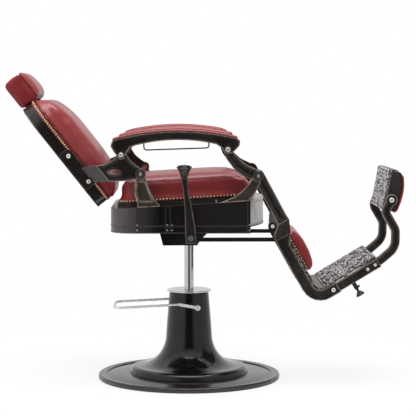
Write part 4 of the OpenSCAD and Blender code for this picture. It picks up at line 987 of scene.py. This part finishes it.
def back():
    """Cushion with soft folds, the smooth band round it with tape, nails and beads, and the nailed rear panel."""
    pad = cushion("back_leather", "back_cushion", "back", 0.75, BACK, (4, 5, 3), 8.0, 9.0, 26, rest=(0, -149.7))

    def folds(n, y, u):
        side = np.exp(-((n + 112) / 20) ** 2) * np.clip((np.abs(y) - 170) / 50, 0, 1)
        pull = 1.3 * np.sin(n / 5.2 + 0.9 * np.sin(u / 130)) * np.clip((250 - u) / 260, 0, 1)
        return side * (0.9 * np.sin(u / 61 + np.sign(y)) + pull)
    displaced(pad, BACK, folds)
    piping("back_foot_welt", pad, sliced(pad, BACK(-146.5, 0, 0), BACK.forward), 2.0, "back")

    outline = largest(flat_loops("back_frame", BACK, forward=FRAME_FRONT))
    outline = outline if area(outline) > 0 else outline[::-1]
    line = even(outline, 10.0)
    out = outward(line)
    normals = out[:, :1] * BACK.across + out[:, 1:] * BACK.up
    nails = domes(BACK(-157.0, *(line + 0.2 * out).T), normals, 4.0, 2.5, skirt=0.6)
    piece("band_nails", *nails, NAIL, "back", "leather")
    close = even(outline, 4.0)
    tape = np.array([[-0.6, -5.5], [0.9, -5.5], [1.3, 0.0], [0.9, 5.5], [-0.6, 5.5]])
    for name, level, grow, section, finish, slot in (
        ("band_tape", -157.0, 0.0, tape, LEATHER, "leather"),
        ("band_front_welt", -151.0, -0.6, circle(2.0), SHADED_WELT, "leather"),
        ("band_rear_bead", -201.0, -0.6, circle(2.4), RIM, "antique_casting"),
    ):
        path = BACK(level, *(close + grow * outward(close)).T)
        piece(name, *swept(path, BACK.forward, section), finish, "back", slot)
    shell = np.array([[-4.0, -52.0], [-1.0, -52.0], [-0.2, -51.0], [0.3, -40.0], [0.5, -26.0], [0.3, -12.0],
                      [-0.2, -1.0], [-1.0, 0.0], [-4.0, 0.0]])
    band = swept(BACK(FRAME_FRONT, *even(softened(close, 12), 4.0).T), BACK.forward, shell)
    piece("back_band", *band, BAND, "back", "antique_casting", ["back_frame"], 30.0)

    loop = largest(flat_loops("back_panel", BACK, forward=PANEL_REAR))
    panel = relief(
        "rear_leather", [loop], lambda y, u, h: BACK(PANEL_REAR - h, y, u), lambda d: -7.4 + 2.2 * quarter(d / 90),
        6.0, LEATHER, "back", "leather", ["back_panel"], 7.65,
    )
    rim, inset = even(loop, 13.0), 14.0
    centre = rim.mean(0)
    rim = centre + (rim - centre) * (1 - inset / np.linalg.norm(rim - centre, axis=1, keepdims=True))
    nails = domes(BACK(-203.7, *rim.T), np.tile(-BACK.forward, (len(rim), 1)), 4.0, 1.4, skirt=2.0)
    piece("rear_nails", *nails, NAIL, "back", "leather")


def headrest():
    """The padded block, the crowned pad on its front, and the two corded seams."""
    body = cushion("headrest_leather", "headrest_block", "headrest", 0.7, BACK, (1.5, 2, 1.5), 6.0, 2.5, 2, calm=9)
    rear_seam = -203

    def folds(n, y, u):
        return crease(rear_seam, 0.8, 3.0)(n) + 0.5 * np.sin(u / 9 + n / 14) * np.exp(-((n + 168) / 24) ** 2)
    displaced(body, BACK, folds)
    half_y, half_u, mid_u, face, depth = 138.0, 55.0, 520.5, -131.5, 23.0
    across = np.sin(np.linspace(-1, 1, 61) * math.pi / 2)
    rise = np.sin(np.linspace(-1, 1, 31) * math.pi / 2)
    a, b = np.meshgrid(across, rise, indexing="ij")
    pull = 1 - 0.025 * (1 - np.abs(a) ** 2) * np.abs(b) ** 3
    bulge = depth * np.sqrt(np.clip(1 - np.abs(a) ** 7, 0, 1)) * np.sqrt(np.clip(1 - np.abs(b) ** 2.6, 0, 1))
    y, u = half_y * a * (1 - 0.02 * (1 - b ** 2)), mid_u + half_u * b * pull
    front = BACK(face + bulge * (1 - 0.14 * b) + 0.5 * np.sin(y / 23) * np.sin(u / 17), y, u)
    pad = piece("headrest_front", *slab(front, BACK(face - 0.5, y, u)), LEATHER, "headrest", "leather",
                ["headrest_pad"], 60.0)
    piping("headrest_front_welt", body, sliced(body, BACK(-135, 0, 0), BACK.forward), 1.8, "headrest", 0.2)
    piping("headrest_rear_welt", body, sliced(body, BACK(rear_seam, 0, 0), BACK.forward), 1.6, "headrest", 0.1)


# ---- Arms ----

def arms():
    """Pads bent along the arms' tops, with a cord round each of their two rolls, and the castings' skins."""
    rise, length, width = 29.0, 455.0, 74.0
    start, end = np.array([-279.0, 343.0]), np.array([176.0, 350.0])
    chord = np.linalg.norm(end - start)
    radius = (chord ** 2 / 4 + rise ** 2) / (2 * rise)
    along = (end - start) / chord
    lift = np.array([-along[1], along[0]])
    centre = (start + end) / 2 + lift * (rise - radius)
    half = math.asin(chord / 2 / radius)

    def on_arm(s, w, h, mid):
        """Points s along and w across an arm's top and h over it, where mid is the top's middle line."""
        angle, r = half * (2 * s / length - 1), radius + 0.3 + h
        x = centre[0] + r * (np.sin(angle) * along[0] + np.cos(angle) * lift[0])
        z = centre[1] + r * (np.sin(angle) * along[1] + np.cos(angle) * lift[1])
        return BOX(x, mid + w - width / 2, z)

    def layered(d_side, d_end):
        """Pad height by distance from its long and short edges: a welted lower roll, then a crowned upper one."""
        lower = np.minimum(d_side / 5.0, d_end / 9.0)
        upper = np.minimum((d_side - 5.5) / 13.0, (d_end - 24.0) / 34.0)
        return 7.0 * quarter(lower) + 8.6 * quarter(upper)
    graded = np.array([0, 0.25, 0.8, 1.8, 3.2, 4.8, 5.3, 5.8, 6.6, 8, 10, 13, 17, 22, 28])
    ends = np.array([0, 0.5, 1.5, 3.5, 6.5, 9.5, 15, 22, 23.6, 24.4, 25.6, 28, 32, 38, 46, 56])
    across = np.concatenate([graded, width - graded[::-1]])
    run = np.concatenate([ends, np.linspace(66, length - 66, 40), length - ends[::-1]])
    s, w = np.meshgrid(run, across, indexing="ij")
    height = layered(np.minimum(w, width - w), np.minimum(s, length - s))
    for side, which in ((-1, "right"), (1, "left")):
        mid = side * 300.0
        shape = slab(on_arm(s, w, height, mid), on_arm(s, w, 0.0, mid))
        pad = piece(f"arm_leather_{which}", *shape, LEATHER, "arms", "leather", [f"arm_pad_{which}"], 60.0)
        welts = []
        for inset_side, inset_end, level, r in ((0.6, 0.8, 1.4, 1.5), (5.6, 24.2, 6.4, 1.1)):
            rect = np.array([[inset_end, inset_side], [length - inset_end, inset_side],
                             [length - inset_end, width - inset_side], [inset_end, width - inset_side]])
            path = softened(even(rect, 4.0), 4)
            welts.append(swept(on_arm(*path.T, level, mid), (0, 0, 1), circle(r)))
        piece(f"arm_welts_{which}", *joined(welts), SHADED_WELT, "arms", "leather")
        cheeks(f"arm_{which}", 334.0, "arms", domed(5.0, 17.0), 5.0, sides=(side,))
        cheeks(f"arm_{which}", -266.0, "arms", domed(3.0, 15.0), 3.5, sides=(side,))


# ---- Bosses, caps and screws at the pivots ----

def ring_cap(r, hole, rise):
    """Profile of a raised collar round a sunk middle."""
    return [(0, -1), (r, -1), (r, rise * 0.55), (r - rise * 0.35, rise * 0.9), (r - rise * 0.8, rise),
            (hole + rise * 0.5, rise * 0.95), (hole, rise * 0.6), (hole - 0.4, 0.2), (0, 0.2)]


def dome_cap(r, rise):
    """Profile of a domed head."""
    t = np.radians([0, 18, 36, 54, 72, 90])
    return [(0, -1), (r, -1)] + [(r * math.cos(x), rise * math.sin(x)) for x in t]


def pivot_caps():
    """Caps over the pins: cast collars round the seat's main pivots with a screw in each, domed screws on the
    arm pins, and socket screws on the back band, the footrest's pin, the tread frame and the pedal's eyes.
    Centres are those on the left, and the right mirrors them."""
    mains = [PIVOT[joint] * [1, 0, 1] + [0, 0.317, 0] for joint in ("back_recline", "leg_rest_pivot")]
    arm_rear, arm_front = PIVOT["arm_pivot"] * [1, 0, 1] + [0, 0.3375, 0], BOX(141, 337.5, 309)
    leg = ((FLIP(0, 201.3, 0), 8.6), (TREAD(30, 215.3, -20.5), 7.6),
           (TREAD(180, 212.3, -20.5), 4.4), (TREAD(212, 212.3, -20.5), 4.4))
    band = [BACK(-171, 249.0, up) for up in (96, 215)]
    eye = PIVOT["pedal_press"] * [1, 0, 1] + [0, 0.104, 0]
    for name, caps, finish, body, slot in (
        ("band_screw_rings", [(at, ring_cap(7.6, 3.0, 2.0)) for at in band], BOLT, "back", "chrome"),
        # painted shade: black domes in the sunk middles stand for the dark of the sockets and of the pedal's eye hole
        ("band_screw_socket_shade", [(at, dome_cap(2.9, 0.6)) for at in band], RUBBER, "back", "chrome"),
        ("pedal_eye_rings", [(eye, ring_cap(8.3, 3.6, 2.0))], BOLT, "pedal", "chrome"),
        ("pedal_eye_hole_shade", [(eye, dome_cap(3.4, 0.4))], RUBBER, "pedal", "chrome"),
        ("main_pivot_collars", [(at, ring_cap(17.0, 9.5, 4.6)) for at in mains], CASTING, "seat", "antique_casting"),
        ("main_pivot_screws", [(at, dome_cap(6.4, 3.4)) for at in mains], SCREW, "seat", "steel"),
        ("arm_rear_screws", [(arm_rear, dome_cap(6.2, 3.6))], SCREW, "back", "steel"),
        ("arm_front_screws", [(arm_front, dome_cap(6.2, 3.6))], SCREW, "leg_rest", "steel"),
        ("leg_socket_screws", [(at, ring_cap(r, r * 0.42, 2.2)) for at, r in leg], BOLT, "leg_rest", "chrome"),
        ("leg_screw_socket_shade", [(at, dome_cap(r * 0.4, 0.7)) for at, r in leg], RUBBER, "leg_rest", "chrome"),
    ):
        parts = [boss(at * [1, side, 1], side, profile) for side in (-1, 1) for at, profile in caps]
        piece(name, *joined(parts), finish, body, slot)


# ---- Castings ----

def castings():
    """Skins over the flat sides of the cast parts."""
    cheeks("rear_brackets", 310.0, "seat", rim_height(1.7, 2.2, 1.2, 3.0), 3.5, BRACKET)
    cheeks("rear_brackets", 307.5, "seat", rim_height(0.9, 4.0, 1.2, 8.0), 4.0, BRACKET, label="_panel")
    cheeks("front_brackets", 310.0, "seat", rim_height(2.0, 2.6, 0.5, 5.0), 4.0, BRACKET)
    cheeks("wing_brackets", 292.0, "back", rim_height(2.6, 3.2, 0.2, 8.0), 4.0)
    cheeks("leg_frames", 292.0, "leg_rest", ribbed(2.4, 2.6, 0.2, 4.0, 1.8, 12.0), 3.5)
    cheeks("leg_frames", 212.0, "leg_rest", rim_height(1.6, 2.6, 0.9, 6.0), 4.5)
    cheeks("footrest_rails", 209.0, "leg_rest", rim_height(1.2, 2.0, 0.6, 4.0), 4.5)
    cheeks("s_arms", 197.0, "leg_rest", rim_height(2.4, 2.8, 0.4, 6.0), 4.0)
    cheeks("s_arms", -183.0, "leg_rest", rim_height(1.7, 2.4, 0.3, 5.0), 4.0)
    cheeks("lever_handle", 344.0, "lever", rim_height(1.5, 2.2, 0.6, 4.0), 3.5, LEVER, (-1,))


def lever():
    """The cup-shaped knob: a flared fluted cup with a hollow top, turned about the lever's upright."""
    low, high = (np.array(c) * 1000 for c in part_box("lever_knob"))
    x, y = (low[0] + high[0]) / 2, (low[1] + high[1]) / 2
    foot, top = low[2] - 19, high[2] - low[2] + 19
    r = (high[0] - low[0]) / 2
    t = np.linspace(0, 1, 16)
    flare = 10.5 + (r - 10.5) * (0.55 * t ** 1.2 + 0.45 * t ** 3)
    profile = np.concatenate([
        [[0, 0], [9, 0]], np.stack([flare, 0.6 + (top - 4) * t], -1),
        [[r, top - 2.0], [r - 0.9, top - 0.4], [r - 2.8, top]],
        [[r - 4.8, top - 1.4], [r - 8, top - 7], [r - 13, top - 12.0], [0, top - 13.5]],
    ])
    points, faces = turned(profile, 120, (x, y), 12, 0.02)
    rise = points[:, 2] / MM
    points[:, 2] = MM * (foot + rise) + 0.2 * (points[:, 1] - y * MM) * np.clip(rise / top, 0, 1) ** 2
    piece("knob_cup", points, faces, LEVER, "lever", "lever_bronze", ["lever_knob"], 50.0)


# ---- Leg rest and footrests ----

def scroll_lattice(u, v, pitch):
    """A generic cast lattice: rosettes on a diamond net, drawn out sideways and joined by crossing ribs, from
    0 low to 1 high."""
    a, b = (u + 0.56 * v) / pitch, (u - 0.56 * v) / pitch
    fa, fb = a - np.floor(a) - 0.5, b - np.floor(b) - 0.5
    rib = np.exp(-(np.minimum(0.5 - np.abs(fa), 0.5 - np.abs(fb)) / 0.1) ** 4)
    r = np.hypot(fa, fb)
    petals = np.exp(-((r - 0.23 - 0.08 * np.cos(6 * np.arctan2(fb, fa))) / 0.09) ** 4)
    return np.clip(np.maximum(rib, petals), 0, 1)


TREAD_STEP, TREAD_BORDER = 2.6, 9.0


def tread_plate(name, place, extent, level, base, body, pitch, rubbed=1.0, swap=False):
    """A cast relief over a rectangle in a part's own directions: the lattice inside a raised plain border,
    with the walls and a flat underside closing it. extent is (low, high) along and (low, high) across, and
    rubbed says how bright it is worn. With swap, along is up and the relief faces forward."""
    (s0, s1), (y0, y1) = extent
    s = np.linspace(s0, s1, int((s1 - s0) / TREAD_STEP) + 1)
    y = np.linspace(y0, y1, int((y1 - y0) / TREAD_STEP) + 1)
    gs, gy = np.meshgrid(s, y, indexing="ij")
    d = np.minimum(np.minimum(gs - s0, s1 - gs), np.minimum(gy - y0, y1 - gy))
    inner = np.clip((d - TREAD_BORDER) / 2.5, 0, 1)
    rim = np.exp(-((d - TREAD_BORDER * 0.5) / (TREAD_BORDER * 0.3)) ** 2)
    raised = np.maximum(scroll_lattice(gs - s0, gy - (y0 + y1) / 2, pitch) * inner, rim)
    height = level + (1.0 + 2.0 * raised) * np.sqrt(np.clip(d / 1.2, 0, 1))

    def world(h):
        return place(h, gy, gs) if swap else place(gs, gy, h)
    value = rubbed * np.concatenate([raised.ravel(), np.full(raised.size, 0.55)])
    piece(name, *slab(world(height), world(base)), TREADS, body, "tread_metal", (), 75.0, ("relief", value))


def leg_rest():
    """Reliefs on the footplate and the calf plate, the calf cushion, and beads along the plate's sides."""
    tread_plate("footplate_relief", TREAD, ((4, 228), (-204, 204)), 8.0, 7.4, "leg_rest", 52.0, 0.72)
    tread_plate("calf_plate_relief", CALF, ((-172, -127), (-204, 204)), 8.0, 7.4, "leg_rest", 44.0, swap=True)
    pad = cushion("calf_leather", "calf_cushion", "leg_rest", 0.8, CALF, (3, 4, 4), 5.0, 6.0, 5, rest=(0, 8.3))
    displaced(pad, CALF, lambda d, y, s: crease(15, 1.6, 3.5)(d))
    nail_row("calf_nails", pad, sliced(pad, CALF(14.0, 0, 0), CALF.forward), "leg_rest")
    piping("calf_welt", pad, sliced(pad, CALF(21.0, 0, 0), CALF.forward), 2.2, "leg_rest")
    beads = []
    for side in (-1, 1):
        edge = CALF(-2.0, side * 203.0, np.linspace(2, -150, 40))
        beads.append(swept(edge, (0, side, 0), circle(2.0), closed=False))
    piece("calf_edge_beads", *joined(beads), SCREW, "leg_rest", "tread_metal")


def flip_footrest():
    """The relief on the tread side and the cushion on the other."""
    tread_plate("flip_relief", FLIP_FACE, ((-43, 112), (-173, 173)), 24.0, 23.4, "flip_footrest", 52.0, 1.15)
    cushion("flip_leather", "flip_cushion", "flip_footrest", 0.8, FLIP, (2, 4, 3), 5.0, 4.0, 4, rest=(0, 9.0))


# ---- Camera, light and floor ----

CAMERA_PLACE = (-0.0189, -6.0, 1.09)
CAMERA_DOWN, CAMERA_RIGHT = 4.11, 0.883   # degrees
LENS, SENSOR = 134.8, 36.0


def camera():
    """A long lens from the chair's right side."""
    data = bpy.data.cameras.new("camera")
    data.lens, data.sensor_width = LENS, SENSOR
    obj = shown("camera", data)
    obj.location = CAMERA_PLACE
    obj.rotation_euler = (math.radians(90 - CAMERA_DOWN), 0, math.radians(-CAMERA_RIGHT))
    bpy.context.scene.camera = obj


def soft_light(name, place, target, size, energy, glossy=True):
    """An elliptical lamp aimed at a target, seen in reflections or not."""
    data = bpy.data.lights.new(name, "AREA")
    data.shape = "ELLIPSE"
    data.size, data.size_y = size
    data.energy = energy
    obj = shown(name, data)
    obj.location = place
    obj.rotation_euler = (Vector(target) - Vector(place)).to_track_quat("-Z", "Y").to_euler()
    obj.visible_glossy = glossy


def room():
    """A dim room for the reflections: bright in front, above and at the sides, even for other rays, and white
    where the camera sees it."""
    world = bpy.data.worlds.new("room")
    world.use_nodes = True
    bpy.context.scene.world = world
    world.node_tree.nodes.clear()
    n = Tree(world.node_tree)
    way = n.add("ShaderNodeSeparateXYZ", {0: n.add("ShaderNodeTexCoord").outputs["Generated"]}).outputs
    rays = n.add("ShaderNodeLightPath").outputs

    def wall(axis, low, high, to_low, to_high):
        return n.ranged(way[axis], low, high, to_low, to_high, interpolation_type="SMOOTHSTEP")
    sides = n.math("ADD", wall("X", -0.2, -0.5, 0.0, 0.62), wall("X", 0.2, 0.5, 0.0, 0.5))
    walls = n.math("MAXIMUM", wall("Y", 0.0, 1.0, 0.02, 0.7), sides)
    glow = n.math("MAXIMUM", walls, wall("Z", 0.35, 0.85, 0.0, 0.9))
    strength = n.add("ShaderNodeMix", {0: rays["Is Glossy Ray"], 2: 0.48, 3: glow}).outputs[0]
    seen = n.add("ShaderNodeMix", {0: rays["Is Camera Ray"], 2: strength, 3: 1.0}).outputs[0]
    background = n.add("ShaderNodeBackground", {"Color": (1, 1, 1, 1), "Strength": seen}).outputs[0]
    n.add("ShaderNodeOutputWorld", {0: background})


def sweep():
    """A round white floor that keeps the shadows near the chair and fades to plain white further out."""
    n = Nodes("sweep_white")
    tone = n.mixed(n.noise(0.6), (0.86, 0.86, 0.86), (0.88, 0.88, 0.88))
    n.finish(colour=tone, rough=0.7)
    glow = n.add("ShaderNodeEmission", {"Color": (1, 1, 1, 1), "Strength": 1.0}).outputs[0]
    seen = n.add("ShaderNodeLightPath").outputs["Is Camera Ray"]
    far_out = n.add("ShaderNodeVectorMath", {0: n.place}, operation="LENGTH").outputs["Value"]
    share = n.ranged(far_out, 0.5, 1.55, 0.82, 1.0)
    blend = n.add("ShaderNodeMixShader", {0: n.math("MULTIPLY", seen, share), 1: n.shader.outputs[0], 2: glow})
    n.tree.links.new(blend.outputs[0], n.tree.nodes["Material Output"].inputs["Surface"])
    radii, sides = np.array([[0.0], [0.4], [0.8], [1.2], [1.6]]), 96
    a = angles(sides)
    points = np.stack([radii * np.cos(a), radii * np.sin(a), 0 * radii * a], -1)
    mesh = bpy.data.meshes.new("sweep")
    mesh.from_pydata(points.reshape(-1, 3).tolist(), [], grid_faces(len(radii), sides, False, True))
    mesh.materials.append(n.material)
    merged(mesh, 1e-5, outwards=False)
    if mesh.polygons[0].normal.z < 0:
        mesh.flip_normals()
    shown("sweep", mesh)


def studio():
    """Soft boxes on the left, right and above, in the room and on its floor."""
    bpy.context.scene.view_settings.view_transform = "Standard"
    soft_light("left_box", (-3.6, -0.7, 1.7), (0, 0, 0.6), (2.4, 2.4), 85, glossy=False)
    soft_light("right_box", (3.0, -2.6, 2.4), (0.2, 0, 0.6), (1.4, 1.4), 60, glossy=False)
    soft_light("top_box", (0, -0.4, 3.4), (0, 0, 0.5), (3.2, 2.4), 95)
    room()
    sweep()


camera()
studio()
base()
seat()
back()
headrest()
arms()
castings()
pivot_caps()
lever()
leg_rest()
flip_footrest()
